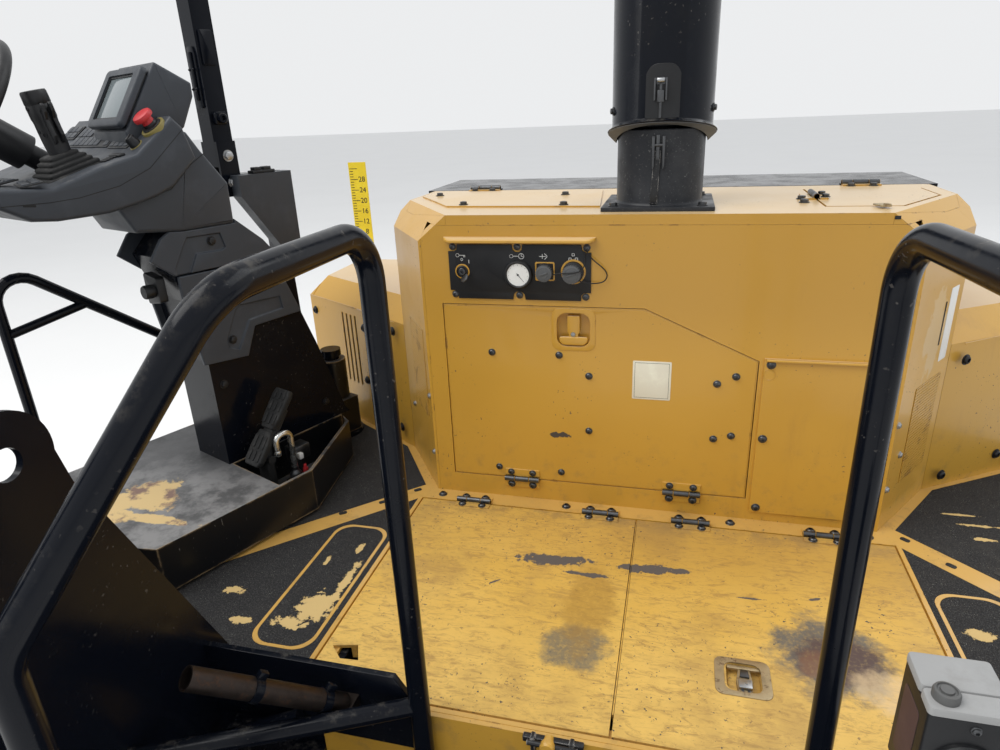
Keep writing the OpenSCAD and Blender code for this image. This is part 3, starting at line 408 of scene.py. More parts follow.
class Paint:
    """A procedural material; its textures are placed by the piece's own coordinates in metres."""

    def __init__(self, name, color, roughness=0.5, metallic=0.0, specular=0.5):
        self.mat = bpy.data.materials.new(name)
        self.mat.use_nodes = True
        self.tree = self.mat.node_tree
        self.bsdf = self.tree.nodes["Principled BSDF"]
        self.place = self.add("ShaderNodeTexCoord").outputs["Object"]
        self.color = self.rgb(color)
        self.roughness = roughness
        self.bsdf.inputs["Metallic"].default_value = metallic
        self.bsdf.inputs["Specular IOR Level"].default_value = specular

    def add(self, kind, **settings):
        node = self.tree.nodes.new(kind)
        for key, value in settings.items():
            setattr(node, key, value)
        return node

    def feed(self, socket, value):
        if isinstance(value, bpy.types.NodeSocket):
            self.tree.links.new(value, socket)
        elif socket.type == "RGBA" and len(value) == 3:
            socket.default_value = (*value, 1)
        else:
            socket.default_value = value

    def rgb(self, color):
        node = self.add("ShaderNodeRGB")
        node.outputs[0].default_value = (*color, 1)
        return node.outputs[0]

    def moved(self, scale=(1, 1, 1), shift=(0, 0, 0), spin=0.0):
        node = self.add("ShaderNodeMapping")
        self.feed(node.inputs["Vector"], self.place)
        node.inputs["Scale"].default_value = scale
        node.inputs["Location"].default_value = shift
        node.inputs["Rotation"].default_value = (0, 0, math.radians(spin))
        return node.outputs[0]

    def noise(self, scale, detail=4.0, rough=0.55, stretch=(1, 1, 1), shift=(0, 0, 0), twist=0.0, spin=0.0):
        node = self.add("ShaderNodeTexNoise")
        self.feed(node.inputs["Vector"], self.moved(stretch, shift, spin))
        node.inputs["Scale"].default_value = scale
        node.inputs["Detail"].default_value = detail
        node.inputs["Roughness"].default_value = rough
        node.inputs["Distortion"].default_value = twist
        return node.outputs[0]

    def creases(self, scale):
        node = self.add("ShaderNodeTexVoronoi", feature="DISTANCE_TO_EDGE")
        self.feed(node.inputs["Vector"], self.moved())
        node.inputs["Scale"].default_value = scale
        return node.outputs[0]

    def span(self, value, low, high, bottom=0.0, top=1.0):
        """value from low to high, mapped smoothly to bottom and top."""
        node = self.add("ShaderNodeMapRange", interpolation_type="SMOOTHSTEP")
        self.feed(node.inputs["Value"], value)
        node.inputs["From Min"].default_value = low
        node.inputs["From Max"].default_value = high
        node.inputs["To Min"].default_value = bottom
        node.inputs["To Max"].default_value = top
        return node.outputs[0]

    def calc(self, operation, a, b=0.0):
        node = self.add("ShaderNodeMath", operation=operation)
        self.feed(node.inputs[0], a)
        self.feed(node.inputs[1], b)
        return node.outputs[0]

    def both(self, a, b):
        return self.calc("MULTIPLY", a, b)

    def tint(self, factor, color):
        """Paint color over what is there, where factor is 1."""
        node = self.add("ShaderNodeMix", data_type="RGBA")
        self.feed(node.inputs[0], factor)
        self.feed(node.inputs[6], self.color)
        self.feed(node.inputs[7], color)
        self.color = node.outputs[2]

    def dull(self, factor, roughness):
        """Move the roughness towards a value where factor is 1."""
        node = self.add("ShaderNodeMix", data_type="FLOAT")
        self.feed(node.inputs[0], factor)
        self.feed(node.inputs[2], self.roughness)
        self.feed(node.inputs[3], roughness)
        self.roughness = node.outputs[0]

    def facing(self):
        """How far the surface looks up."""
        node = self.add("ShaderNodeSeparateXYZ")
        self.feed(node.inputs[0], self.add("ShaderNodeNewGeometry").outputs["Normal"])
        return node.outputs[2]

    def along(self, axis):
        node = self.add("ShaderNodeSeparateXYZ")
        self.feed(node.inputs[0], self.place)
        return node.outputs[axis]

    def spot(self, centre, radii, ragged=0.35, scale=9.0, spin=0.0, core=0.82):
        """1 inside an ellipsoid with a ragged edge, 0 outside; a lower core gives a softer edge."""
        shift = self.add("ShaderNodeVectorMath", operation="SUBTRACT")
        self.feed(shift.inputs[0], self.place)
        shift.inputs[1].default_value = centre
        turned = self.add("ShaderNodeVectorRotate", rotation_type="Z_AXIS")
        self.feed(turned.inputs["Vector"], shift.outputs[0])
        turned.inputs["Angle"].default_value = math.radians(-spin)
        ratio = self.add("ShaderNodeVectorMath", operation="DIVIDE")
        self.feed(ratio.inputs[0], turned.outputs[0])
        ratio.inputs[1].default_value = radii
        length = self.add("ShaderNodeVectorMath", operation="LENGTH")
        self.feed(length.inputs[0], ratio.outputs[0])
        rough = self.noise(scale, 7.0, 0.68, shift=(centre[0] * 7, centre[1] * 5, 0))
        wander = self.calc("MULTIPLY", self.calc("SUBTRACT", rough, 0.5), ragged * 5)
        return self.span(self.calc("ADD", length.outputs["Value"], wander), core, 1.0, 1.0, 0.0)

    def spots(self, places, height, depth, ragged, scale):
        """1 inside any of the spots, each a centre, two radii and perhaps a turn in degrees."""
        total = None
        for centre, radii, *spin in places:
            spot = self.spot((*centre, height), (*radii, depth), ragged, scale, *spin)
            total = spot if total is None else self.calc("MAXIMUM", total, spot)
        return total

    def bump(self, height, distance, strength):
        node = self.add("ShaderNodeBump")
        node.inputs["Strength"].default_value = strength
        node.inputs["Distance"].default_value = distance
        self.feed(node.inputs["Height"], height)
        if self.bsdf.inputs["Normal"].is_linked:
            self.feed(node.inputs["Normal"], self.bsdf.inputs["Normal"].links[0].from_socket)
        self.feed(self.bsdf.inputs["Normal"], node.outputs[0])

    def coat(self, weight, roughness):
        self.bsdf.inputs["Coat Weight"].default_value = weight
        self.bsdf.inputs["Coat Roughness"].default_value = roughness

    def finish(self):
        self.feed(self.bsdf.inputs["Base Color"], self.color)
        self.feed(self.bsdf.inputs["Roughness"], self.roughness)
        return self.mat


def edge_wear(p, radius=0.004):
    """1 along sharp edges, from how far a rounded normal departs from the true one."""
    node = p.add("ShaderNodeBevel", samples=4)
    node.inputs["Radius"].default_value = radius
    dot = p.add("ShaderNodeVectorMath", operation="DOT_PRODUCT")
    p.feed(dot.inputs[0], node.outputs[0])
    p.feed(dot.inputs[1], p.add("ShaderNodeNewGeometry").outputs["Normal"])
    return p.span(dot.outputs["Value"], 0.86, 0.995, 1.0, 0.0)


# Pale tint for upward yellow faces: real dust, and also a painted sky glare on the high tops.
DUST_AND_GLARE = (0.72, 0.6, 0.42)
PRIMER = (0.06, 0.055, 0.055)
RUST = (0.13, 0.06, 0.03)


def yellow_paint():
    p = Paint("yellow_paint", (0.6, 0.333, 0.047), 0.3, specular=0.4)
    p.tint(p.span(p.noise(1.7, 3), 0.35, 0.7, 0.0, 0.45), (0.52, 0.275, 0.034))
    high = p.both(p.span(p.along(2), DECK + 0.4, DECK + 0.62), p.span(p.facing(), 0.3, 0.6, 1.0, 0.0))
    p.tint(p.both(high, 0.55), (0.46, 0.245, 0.034))
    p.tint(p.span(p.noise(9, 5, 0.7, stretch=(1, 1, 0.22)), 0.56, 0.75, 0.0, 0.35), (0.43, 0.235, 0.045))
    # Upward faces, more so higher up, tinted pale: part dust, part painted sky glare on the hood and box tops.
    p.tint(p.both(p.span(p.facing(), 0.75, 0.95, 0.0, 0.5), p.span(p.along(2), DECK + 0.1, DECK + 0.4, 0.25, 1.0)),
           DUST_AND_GLARE)
    low = p.span(p.along(2), DECK + 0.02, DECK + 0.3, 1.0, 0.0)
    p.tint(p.both(low, p.span(p.noise(20, 6, 0.7), 0.5, 0.75, 0.0, 0.5)), (0.3, 0.19, 0.07))
    specks = p.both(p.span(p.noise(150, 2, 0.4), 0.70, 0.73), p.span(p.noise(6, 3), 0.5, 0.66))
    p.tint(specks, PRIMER)
    worn = p.both(edge_wear(p), p.span(p.noise(18, 5, 0.6), 0.57, 0.64, 0.0, 0.85))
    p.tint(worn, RUST)
    scratch = p.spot((-0.226, WALL_Y, DECK + 0.209), (0.034, 0.05, 0.009), 0.5, 60)
    p.tint(scratch, PRIMER)
    peeled = p.spot((0.675, 0.19, DECK + 0.5), (0.05, 0.07, 0.12), 0.5, 14)
    p.tint(p.both(peeled, 0.55), (0.62, 0.48, 0.28))
    p.dull(p.span(p.noise(4, 5, 0.6), 0.4, 0.75), 0.42)
    p.dull(specks, 0.8)
    p.dull(worn, 0.75)
    p.bump(p.noise(240, 2), 0.0005, 0.1)
    p.coat(0.2, 0.1)
    return p.finish()


# Bare streaks on the floor doors: centre, radii, turn in degrees
BARE_SPOTS = [
    ((-0.20, -0.222), (0.105, 0.022), 5), ((0.03, -0.213), (0.085, 0.016), 4), ((-0.11, -0.262), (0.06, 0.008), 0),
    ((0.26, -0.275), (0.03, 0.004), 3), ((-0.32, -0.33), (0.02, 0.003), 40), ((0.40, -0.25), (0.016, 0.004), 20)]
# Stains on the floor doors: centre, radii, colour, strength
STAINS = [((-0.105, -0.5), (0.09, 0.08), (0.1, 0.11, 0.105), 0.75),
          ((0.405, -0.425), (0.135, 0.13), (0.12, 0.115, 0.105), 0.95),
          ((0.425, -0.43), (0.1, 0.09), (0.085, 0.05, 0.045), 0.9),
          ((0.37, -0.45), (0.04, 0.05), (0.22, 0.1, 0.05), 0.6), ((-0.09, -0.36), (0.07, 0.17), (0.36, 0.2, 0.04), 0.6),
          ((0.5, -0.5), (0.08, 0.06), (0.72, 0.53, 0.3), 0.6)]


def floor_paint():
    p = Paint("floor_paint", (0.66, 0.40, 0.078), 0.42, specular=0.4)
    p.tint(p.span(p.noise(2.2, 4, 0.6), 0.35, 0.7, 0.0, 0.6), (0.76, 0.5, 0.135))
    rear = p.span(p.along(1), -0.35, -0.7)
    p.tint(p.both(rear, 0.45), (0.8, 0.53, 0.15))
    p.tint(p.both(p.span(p.along(1), -0.36, -0.1), p.span(p.along(0), -0.45, 0.35, 0.3, 0.75)), (0.5, 0.29, 0.06))
    p.tint(p.both(p.span(p.noise(3.1, 6, 0.65, shift=(4, 2, 0)), 0.46, 0.66), 0.6), (0.38, 0.23, 0.07))
    for shift, spin, strength in ((0, 15, 0.65), (3, -40, 0.5)):
        rubbed = p.span(p.noise(20, 7, 0.78, stretch=(1, 3.2, 1), shift=(1, 0, shift), twist=0.8, spin=spin), 0.5, 0.66)
        p.tint(p.both(rubbed, strength), (0.33, 0.19, 0.06))
    p.tint(p.span(p.noise(75, 4, 0.7), 0.63, 0.7, 0.0, 0.85), (0.2, 0.12, 0.055))
    p.tint(p.both(p.span(p.noise(130, 2, 0.5), 0.68, 0.71), p.span(p.noise(4, 2, shift=(2, 7, 0)), 0.42, 0.6)), PRIMER)
    hinge_line = p.span(p.along(1), -0.09, -0.01)
    p.tint(p.both(hinge_line, p.span(p.noise(14, 6, 0.75), 0.4, 0.62, 0.0, 0.7)), (0.3, 0.19, 0.075))
    for centre, radii, color, strength in STAINS:
        p.tint(p.both(p.both(p.spot((*centre, DECK), (*radii, 0.2), 0.3, 16, core=0.55), strength),
                      p.span(p.noise(110, 5, 0.7), 0.25, 0.55, 0.5, 1.0)), color)
    bare = p.spots(BARE_SPOTS, DECK, 0.2, 0.55, 42)
    p.tint(bare, (0.105, 0.09, 0.08))
    p.dull(p.span(p.noise(6, 5, 0.6), 0.4, 0.7), 0.6)
    p.dull(bare, 0.7)
    p.bump(p.noise(60, 5, 0.6), 0.0006, 0.25)
    p.bump(p.calc("SUBTRACT", 1.0, bare), 0.0005, 0.6)
    return p.finish()


def black_paint():
    p = Paint("black_paint", (0.0035, 0.0048, 0.0085), 0.16, specular=0.17)
    p.tint(p.span(p.noise(7, 5, 0.65), 0.5, 0.8, 0.0, 0.5), (0.012, 0.012, 0.013))
    dust = p.both(p.span(p.facing(), 0.1, 0.9), p.span(p.noise(34, 5, 0.7), 0.5, 0.72, 0.0, 0.25))
    p.tint(dust, (0.2, 0.18, 0.15))
    marks = p.both(p.span(p.noise(120, 3, 0.5), 0.66, 0.7), p.span(p.noise(7, 3), 0.5, 0.62, 0.0, 0.5))
    p.tint(marks, (0.12, 0.11, 0.1))
    p.dull(p.span(p.noise(12, 5, 0.6), 0.4, 0.7), 0.28)
    p.dull(dust, 0.6)
    p.bump(p.noise(220, 2), 0.0004, 0.06)
    return p.finish()


# Where the operator's feet have worn the platform: centre, radii
FOOT_MARKS = [((-1.27, -0.31), (0.075, 0.06)), ((-1.225, -0.36), (0.075, 0.045)), ((-1.31, -0.38), (0.05, 0.06)),
              ((-1.17, -0.43), (0.13, 0.02)), ((-1.28, -0.44), (0.05, 0.03))]
TRAY_TOP = DECK + 0.135


def tray_paint():
    """The platform's black paint, worn through to yellow and grey where the operator steps on; the grey over its top,
    paler away from the pedestal, is partly a painted sky sheen.
    """
    p = Paint("tray_paint", (0.006, 0.0065, 0.008), 0.3, specular=0.4)
    # Lighter grey over the top faces: a painted sky sheen.
    top = p.span(p.facing(), 0.8, 0.95)
    p.tint(p.both(top, p.span(p.noise(6, 6, 0.7), 0.35, 0.65, 0.2, 0.8)), (0.1, 0.1, 0.102))
    # Paler grey on the top away from the pedestal: partly worn paint, partly a painted sky sheen.
    rear = p.span(p.along(1), -0.3, -0.05, 1.0, 0.0)
    p.tint(p.both(p.both(top, rear), p.span(p.noise(11, 6, 0.7), 0.38, 0.6, 0.2, 0.8)), (0.27, 0.265, 0.26))
    patch = p.spots(FOOT_MARKS, TRAY_TOP, 0.03, 0.4, 22)
    p.tint(patch, (0.63, 0.45, 0.2))
    p.tint(p.both(patch, p.span(p.noise(9, 6, 0.7, shift=(2, 1, 0)), 0.5, 0.6)), (0.2, 0.12, 0.09))
    worn = p.both(edge_wear(p, 0.008), p.span(p.noise(14, 5, 0.65), 0.42, 0.56))
    p.tint(worn, (0.34, 0.24, 0.13))
    p.tint(p.both(p.span(p.noise(130, 4, 0.6, stretch=(1, 1, 0.3)), 0.66, 0.71), p.span(p.noise(8, 3), 0.45, 0.6)),
           (0.2, 0.19, 0.17))
    p.dull(top, 0.5)
    p.bump(p.noise(180, 3), 0.0005, 0.2)
    return p.finish()


# Where the grit has come off the walkways: centre, radii
TREAD_MARKS = [((-0.70, -0.50), (0.045, 0.05)), ((-0.676, -0.40), (0.012, 0.09)), ((-0.74, -0.56), (0.04, 0.02)),
               ((-0.93, -0.485), (0.03, 0.014)), ((-0.85, -0.575), (0.03, 0.012)), ((-0.76, -0.335), (0.008, 0.02)),
               ((-0.70, -0.27), (0.01, 0.025)), ((0.823, 0.177), (0.05, 0.005)), ((0.849, 0.13), (0.05, 0.006)),
               ((0.843, 0.066), (0.025, 0.008)), ((0.71, -0.3), (0.03, 0.02)), ((0.7, -0.52), (0.035, 0.03))]


def tread_grit():
    p = Paint("tread_grit", (0.021, 0.021, 0.022), 0.85, specular=0.3)
    p.tint(p.span(p.noise(300, 3, 0.7), 0.5, 0.62, 0.0, 0.8), (0.075, 0.074, 0.073))
    p.tint(p.span(p.noise(380, 2, 0.6, shift=(1, 1, 1)), 0.5, 0.6, 0.0, 0.7), (0.007, 0.007, 0.0075))
    p.tint(p.span(p.noise(8, 6, 0.7), 0.5, 0.75, 0.0, 0.4), (0.055, 0.05, 0.044))
    grains = p.both(p.span(p.noise(700, 0), 0.76, 0.79), p.span(p.noise(40, 2), 0.45, 0.6))
    p.tint(grains, (0.5, 0.48, 0.42))
    worn = p.spots(TREAD_MARKS, DECK, 0.05, 0.6, 38)
    p.tint(worn, (0.63, 0.45, 0.19))
    p.bump(p.noise(420, 3, 0.7), 0.0014, 0.9)
    p.bump(p.calc("SUBTRACT", 1.0, worn), 0.001, 0.6)
    return p.finish()


def moulded(name, color, roughness=0.5, grain=320, dusty=0.35):
    p = Paint(name, color, roughness, specular=0.4)
    lighter = tuple(min(1, c * 1.4 + 0.008) for c in color)
    p.tint(p.span(p.noise(11, 5, 0.65), 0.5, 0.8, 0.0, 0.6), lighter)
    dust = p.both(p.span(p.facing(), 0.2, 0.95), p.span(p.noise(24, 5, 0.7), 0.45, 0.75, 0.0, dusty))
    p.tint(dust, (0.2, 0.19, 0.175))
    p.dull(p.span(p.noise(15, 4), 0.4, 0.7), min(1, roughness + 0.12))
    p.bump(p.noise(grain, 2), 0.0005, 0.3)
    return p.finish()


def metal(name, color, roughness, rust=0.0):
    p = Paint(name, color, roughness, 0.9)
    p.tint(p.span(p.noise(40, 5, 0.7), 0.45, 0.75, 0.0, 0.6), tuple(c * 0.5 for c in color))
    if rust:
        p.tint(p.both(p.span(p.noise(60, 6, 0.7), 0.55, 0.66), rust), RUST)
    p.dull(p.span(p.noise(30, 4), 0.4, 0.7), min(1, roughness + 0.2))
    p.bump(p.noise(200, 3), 0.0003, 0.3)
    return p.finish()


def vinyl():
    p = Paint("seat_vinyl", (0.016, 0.0162, 0.0175), 0.5, specular=0.4)
    p.tint(p.span(p.noise(5, 5, 0.6), 0.45, 0.75, 0.0, 0.6), (0.035, 0.034, 0.034))
    p.tint(p.both(p.span(p.facing(), 0.3, 0.95), p.span(p.noise(18, 5, 0.7), 0.45, 0.75, 0.0, 0.3)),
           (0.12, 0.115, 0.105))
    p.dull(p.span(p.noise(9, 4), 0.4, 0.7), 0.62)
    p.bump(p.creases(420), 0.0006, 0.5)
    p.bump(p.noise(60, 4, 0.6), 0.0008, 0.25)
    return p.finish()


def worn_black():
    """Black paint rubbed through to bare metal along its edges."""
    p = Paint("worn_black", (0.012, 0.0125, 0.014), 0.35, specular=0.4)
    bare = p.both(edge_wear(p, 0.003), p.span(p.noise(45, 5, 0.7), 0.45, 0.58))
    p.tint(bare, (0.42, 0.4, 0.37))
    p.tint(p.span(p.noise(170, 4, 0.7), 0.6, 0.68, 0.0, 0.7), (0.16, 0.15, 0.14))
    p.dull(bare, 0.45)
    p.bump(p.noise(160, 3), 0.0004, 0.3)
    return p.finish()


def scorched_black():
    """Black paint dulled and speckled by heat."""
    p = Paint("scorched_black", (0.012, 0.0135, 0.017), 0.33, specular=0.3)
    p.tint(p.span(p.noise(9, 5, 0.7), 0.4, 0.7, 0.0, 0.7), (0.034, 0.035, 0.038))
    p.tint(p.span(p.noise(170, 4, 0.75), 0.6, 0.69, 0.0, 0.75), (0.16, 0.155, 0.15))
    p.dull(p.span(p.noise(14, 4), 0.4, 0.7), 0.55)
    p.bump(p.noise(150, 3), 0.0004, 0.25)
    return p.finish()


def screen_glass():
    p = Paint("screen_glass", (0.17, 0.2, 0.21), 0.06, specular=0.6)
    p.tint(p.span(p.noise(3, 2), 0.4, 0.6, 0.0, 0.3), (0.25, 0.28, 0.29))
    return p.finish()


YELLOW = yellow_paint()
FLOOR = floor_paint()
BLACK = black_paint()
TRAY = tray_paint()
TREAD = tread_grit()
GREY = moulded("grey_plastic", (0.037, 0.043, 0.053), 0.45)
KEYS = moulded("keypad_grey", (0.1, 0.103, 0.105), 0.5)
LID = moulded("lid_grey", (0.33, 0.33, 0.325), 0.55)
BLACK_PLASTIC = moulded("black_plastic", (0.009, 0.0095, 0.011), 0.4, dusty=0.15)
RUBBER = moulded("rubber", (0.012, 0.0122, 0.0125), 0.7, 160, 0.3)
STEEL = metal("bare_steel", (0.42, 0.40, 0.37), 0.38, rust=0.6)
ZINC = metal("screw_zinc", (0.42, 0.43, 0.44), 0.3)
BOLT = metal("bolt_black", (0.1, 0.103, 0.108), 0.32)
ENGINE = moulded("engine_grey", (0.08, 0.08, 0.08), 0.6, 90)
SCALE = moulded("scale_yellow", (0.77, 0.58, 0.02), 0.4, dusty=0.0)
RED = moulded("red_plastic", (0.5, 0.03, 0.035), 0.35, dusty=0.1)
WHITE = moulded("label_ivory", (0.76, 0.72, 0.58), 0.5, dusty=0.0)
DIAL = moulded("dial_white", (0.8, 0.8, 0.77), 0.35, dusty=0.0)
SCREEN = screen_glass()
VINYL = vinyl()
OLD_BAR = metal("old_bar", (0.05, 0.039, 0.034), 0.35, rust=0.35)
CHROME = metal("chrome", (0.6, 0.6, 0.58), 0.16)
LID_DARK = moulded("knob_grey", (0.1, 0.1, 0.098), 0.5)
# Brown-grey of the socket box's left face: a painted sheen.
BROWN_SIDE_SHEEN = moulded("brown_side_sheen", (0.075, 0.04, 0.035), 0.6, 60)
OLIVE = moulded("ring_yellow", (0.22, 0.18, 0.05), 0.45)
WORN = metal("worn_latch", (0.45, 0.36, 0.22), 0.5, rust=0.7)
WORN_BLACK = worn_black()
SCORCHED = scorched_black()

SLOT_LOOKS = {
    "yellow_paint": YELLOW, "floor_paint": FLOOR, "black_paint": BLACK, "tread": TREAD, "grey_plastic": GREY,
    "black_plastic": BLACK_PLASTIC, "rubber": RUBBER, "bare_steel": STEEL, "engine_grey": ENGINE,
    "scale_yellow": SCALE, "red_plastic": RED, "seat_vinyl": VINYL}
NODE_LOOKS = {"platform_tray": TRAY, "stowed_bar": OLD_BAR}
# The slot that stands for each look
SLOT_OF = {look.name: slot for slot, look in SLOT_LOOKS.items()}
for slot, looks in (("grey_plastic", (KEYS, LID, WHITE, DIAL, LID_DARK, BROWN_SIDE_SHEEN)),
                    ("bare_steel", (ZINC, BOLT, CHROME)), ("black_paint", (WORN_BLACK, SCORCHED)),
                    ("scale_yellow", (OLIVE,)), ("black_plastic", (SCREEN,))):
    for look in looks:
        SLOT_OF[look.name] = slot


def dress_frame():
    """Give every CAD node its material and a small round on its edges."""
    slots = {entry["node"]: entry["material_slot"] for entry in frame["record"]["subparts"]}
    for name, obj in frame["nodes"].items():
        obj.data.materials.clear()
        obj.data.materials.append(NODE_LOOKS.get(name) or SLOT_LOOKS[slots[name]])
        soften(obj, 0.0022)


dress_frame()

# Camera

EYE = deck(0.0672, -1.6128, 1.05)
VIEW_RIGHT = Vector((0.9678, 0.24826, -0.04160))
VIEW_UP = Vector((-0.05259, 0.36102, 0.93107))
VIEW_BACK = Vector((0.24617, -0.89891, 0.36245))
FOCAL_PX = 680
IMAGE_W_PX = 1000


def camera():
    data = bpy.data.cameras.new("camera")
    data.sensor_width = 36
    data.lens = 36 * FOCAL_PX / IMAGE_W_PX
    data.clip_start = 0.02
    data.clip_end = 300
    obj = put("camera", data)
    facing = Matrix((VIEW_RIGHT, VIEW_UP, VIEW_BACK)).transposed()
    obj.matrix_world = Matrix.Translation(EYE) @ facing.to_4x4()
    bpy.context.scene.camera = obj


camera()

# Tethers of the connector caps

TETHER_D = 0.003


def tether(name, points):
    points = spline([on_wall(x, z, out).translation for x, z, out in points], 6)
    piece = Piece(name)
    piece.tube(points, TETHER_D / 2, 10)
    obj = piece.done(RUBBER, "root")


tether("tether_round", [(-0.1535, 0.7215, 0.0085), (-0.151, 0.716, 0.011), (-0.143, 0.706, 0.012),
                        (-0.131, 0.694, 0.011), (-0.118, 0.683, 0.009), (-0.107, 0.671, 0.0075),
                        (-0.103, 0.659, 0.0065), (-0.108, 0.647, 0.0065), (-0.121, 0.641, 0.008),
                        (-0.141, 0.640, 0.012), (-0.158, 0.6425, 0.0165), (-0.17, 0.648, 0.0195)])
tether("tether_square", [(-0.158, 0.7185, 0.0085), (-0.1575, 0.711, 0.011), (-0.157, 0.7, 0.012),
                         (-0.158, 0.688, 0.015), (-0.162, 0.678, 0.022), (-0.171, 0.6725, 0.0302),
                         (-0.187, 0.6695, 0.0322), (-0.205, 0.6685, 0.0302), (-0.2185, 0.6665, 0.024),
                         (-0.229, 0.6635, 0.0195), (-0.2375, 0.6615, 0.0195)])

# Handrails

TUBE_R = 0.019
BEND = 0.075
RAIL_TOP = 0.905
LEG_Y = -0.749
STEP_Z = -0.23


def handrail(name, x, top_x, far_x):
    piece = Piece(name + "_tube")
    far_y, bend_y = -1.255, -1.09
    path = [deck(x, LEG_Y, STEP_Z + 0.006), deck(x, LEG_Y, RAIL_TOP), deck(top_x, bend_y, RAIL_TOP),
            deck(far_x, far_y, 0.59), deck(far_x, far_y, STEP_Z + 0.006)]
    piece.tube(rounded(path, BEND, 16), TUBE_R, 40)
    for px, py in ((x, LEG_Y), (far_x, far_y)):
        piece.rings([(0, 0), (0.04, 0), (0.042, 0.002), (0.042, 0.01), (0.04, 0.012), (0.021, 0.012), (0.0185, 0.017),
                     (0, 0.017)], on_deck(px, py, STEP_Z), 36)
        for turned in (45, 135, 225, 315):
            piece.hex_bolt(on_deck(px, py, STEP_Z + 0.012) @ turn(turned, "Z") @ move(0.031, 0, 0), 0.0055)
    return piece.done(BLACK, "root", replaces=(name,))


handrail("handrail_left", -0.35, -0.35, -0.528)
handrail("handrail_right", 0.317, 0.347, 0.528)

# Hinges and fasteners

OUTER = ((-0.05, -0.021), (0.021, 0.05))
MIDDLE = ((-0.02, 0.02),)
HINGE_Z = 0.008
SERVICE_HINGES, SERVICE_HINGE_Z = (-0.336, 0.105), 0.0635
# A leaf's thickness, how far its bolts are from the hinge line, and half the distance between two of them
LEAF, LEAF_BOLT, FLOOR_PAIR, SERVICE_PAIR = 0.004, 0.0195, 0.029, 0.031
FLOOR_HINGES = ((-0.469, "floor_door_left"), (-0.107, "floor_door_left"), (0.132, "floor_door_right"),
                (0.461, "floor_door_right"))
HINGES = [(deck(x, 0, HINGE_Z), X, body) for x, body in FLOOR_HINGES]
HINGES += [(deck(x, 0.047, SERVICE_HINGE_Z), X, "service_door") for x in SERVICE_HINGES]
HINGES += [(deck(x, 0.604, HOOD_H + HINGE_Z), X, "engine_cover") for x in (-0.56, 0.56)]
HINGES += [(deck(0.394, 0.335, HOOD_H + HINGE_Z), Y, "fill_lid")]


def barrels(name, body, places, spans):
    piece = Piece(name)
    for place, axis in places:
        matrix = frame_at(place, axis, Z)
        for a, b in spans:
            piece.rings([(0, a), (0.0066, a), (0.0077, a + 0.0012), (0.0077, b - 0.0012), (0.0066, b), (0, b)], matrix,
                        24)
    piece.done(BOLT, body, "black_paint")


barrels("hinge_barrels_fixed", "root", [(p, a) for p, a, _ in HINGES], OUTER)
for moving in ("floor_door_left", "floor_door_right", "service_door", "engine_cover", "fill_lid"):
    barrels("hinge_barrels_" + moving, moving, [(p, a) for p, a, body in HINGES if body == moving], MIDDLE)


def screws(name, body, places, r=0.0085, kind=Piece.screw, material=BOLT):
    piece = Piece(name)
    for matrix in places:
        kind(piece, matrix, r)
    return piece.done(material, body, "bare_steel")


floor_fixed = [on_deck(x + s * FLOOR_PAIR, LEAF_BOLT, LEAF) for x, _ in FLOOR_HINGES for s in (-1, 1)]
floor_fixed += [on_deck(x, 0.026) for x in (-0.572, -0.205, 0.235, 0.57)]
screws("floor_hinge_bolts", "root", floor_fixed, 0.0095)
for door in ("floor_door_left", "floor_door_right"):
    screws(door + "_bolts", door,
           [on_deck(x + s * FLOOR_PAIR, -LEAF_BOLT, LEAF) for x, body in FLOOR_HINGES if body == door for s in (-1, 1)],
           0.0085)
door_bolts = [on_wall(x + s * SERVICE_PAIR, SERVICE_HINGE_Z + LEAF_BOLT, LEAF) for x in SERVICE_HINGES for s in (-1, 1)]
door_bolts += [on_wall(x, z) for x, z in (
    (-0.409, 0.443), (-0.226, 0.443), (-0.147, 0.388), (-0.146, 0.228), (0.176, 0.385), (0.22, 0.407), (0.177, 0.231),
    (0.22, 0.243), (-0.403, 0.094), (-0.223, 0.093))]
screws("service_door_bolts", "service_door", door_bolts, 0.0076)
wall_bolts = [on_wall(x + s * SERVICE_PAIR, SERVICE_HINGE_Z - LEAF_BOLT, LEAF) for x in SERVICE_HINGES for s in (-1, 1)]
wall_bolts += [on_wall(x, z, 0.006) for x, z in ((0.298, 0.445), (0.296, 0.244), (0.297, 0.042), (0.531, 0.445),
                                                 (0.531, 0.244), (0.531, 0.042))]
screws("wall_bolts", "root", wall_bolts)

LEFT_CORNER = upright(-0.596, WALL_Y, -0.823, -0.568)
RIGHT_CORNER = upright(0.596, WALL_Y, 0.823, -0.568)
LEFT_BOX = upright(-1.0, 0.45, -0.533, -0.846)
RIGHT_BOX = upright(1.0, 0.45, 0.533, -0.846)
LEFT_BOX_NEAR = upright(-0.7935, 0.3, -0.588, -0.809)
RIGHT_BOX_NEAR = upright(0.7935, 0.3, 0.588, -0.809)
corner_bolts = [LEFT_CORNER @ move(-s, z, 0) for s, z in ((0.225, 0.19), (0.012, 0.298), (0.012, 0.119))]
corner_bolts += [RIGHT_CORNER @ move(s, z, 0) for s, z in ((0.06, 0.2), (0.012, 0.298), (0.012, 0.119))]
screws("corner_bolts", "root", corner_bolts, 0.007, material=ZINC)
box_bolts = [LEFT_BOX_NEAR @ move(-s, z, 0) for s, z in ((0.02, 0.405), (0.021, 0.066), (0.231, 0.177), (0.214, 0.374))]
box_bolts += [RIGHT_BOX_NEAR @ move(s, z, 0) for s, z in ((0.02, 0.389), (0.02, 0.045), (0.24, 0.36), (0.24, 0.06))]
box_bolts += [LEFT_BOX @ move(-0.29, z, 0) for z in (0.07, 0.38)]
for s in (-1, 1):
    for x, y in ((1.27, 0.66), (1.27, 0.91)):
        box_bolts += [frame_at(deck(s * x, y, z), Vector((s, 0, 0)), Z) for z in (0.07, 0.38)]
screws("side_box_bolts", "root", box_bolts, 0.0115, material=BLACK_PLASTIC)
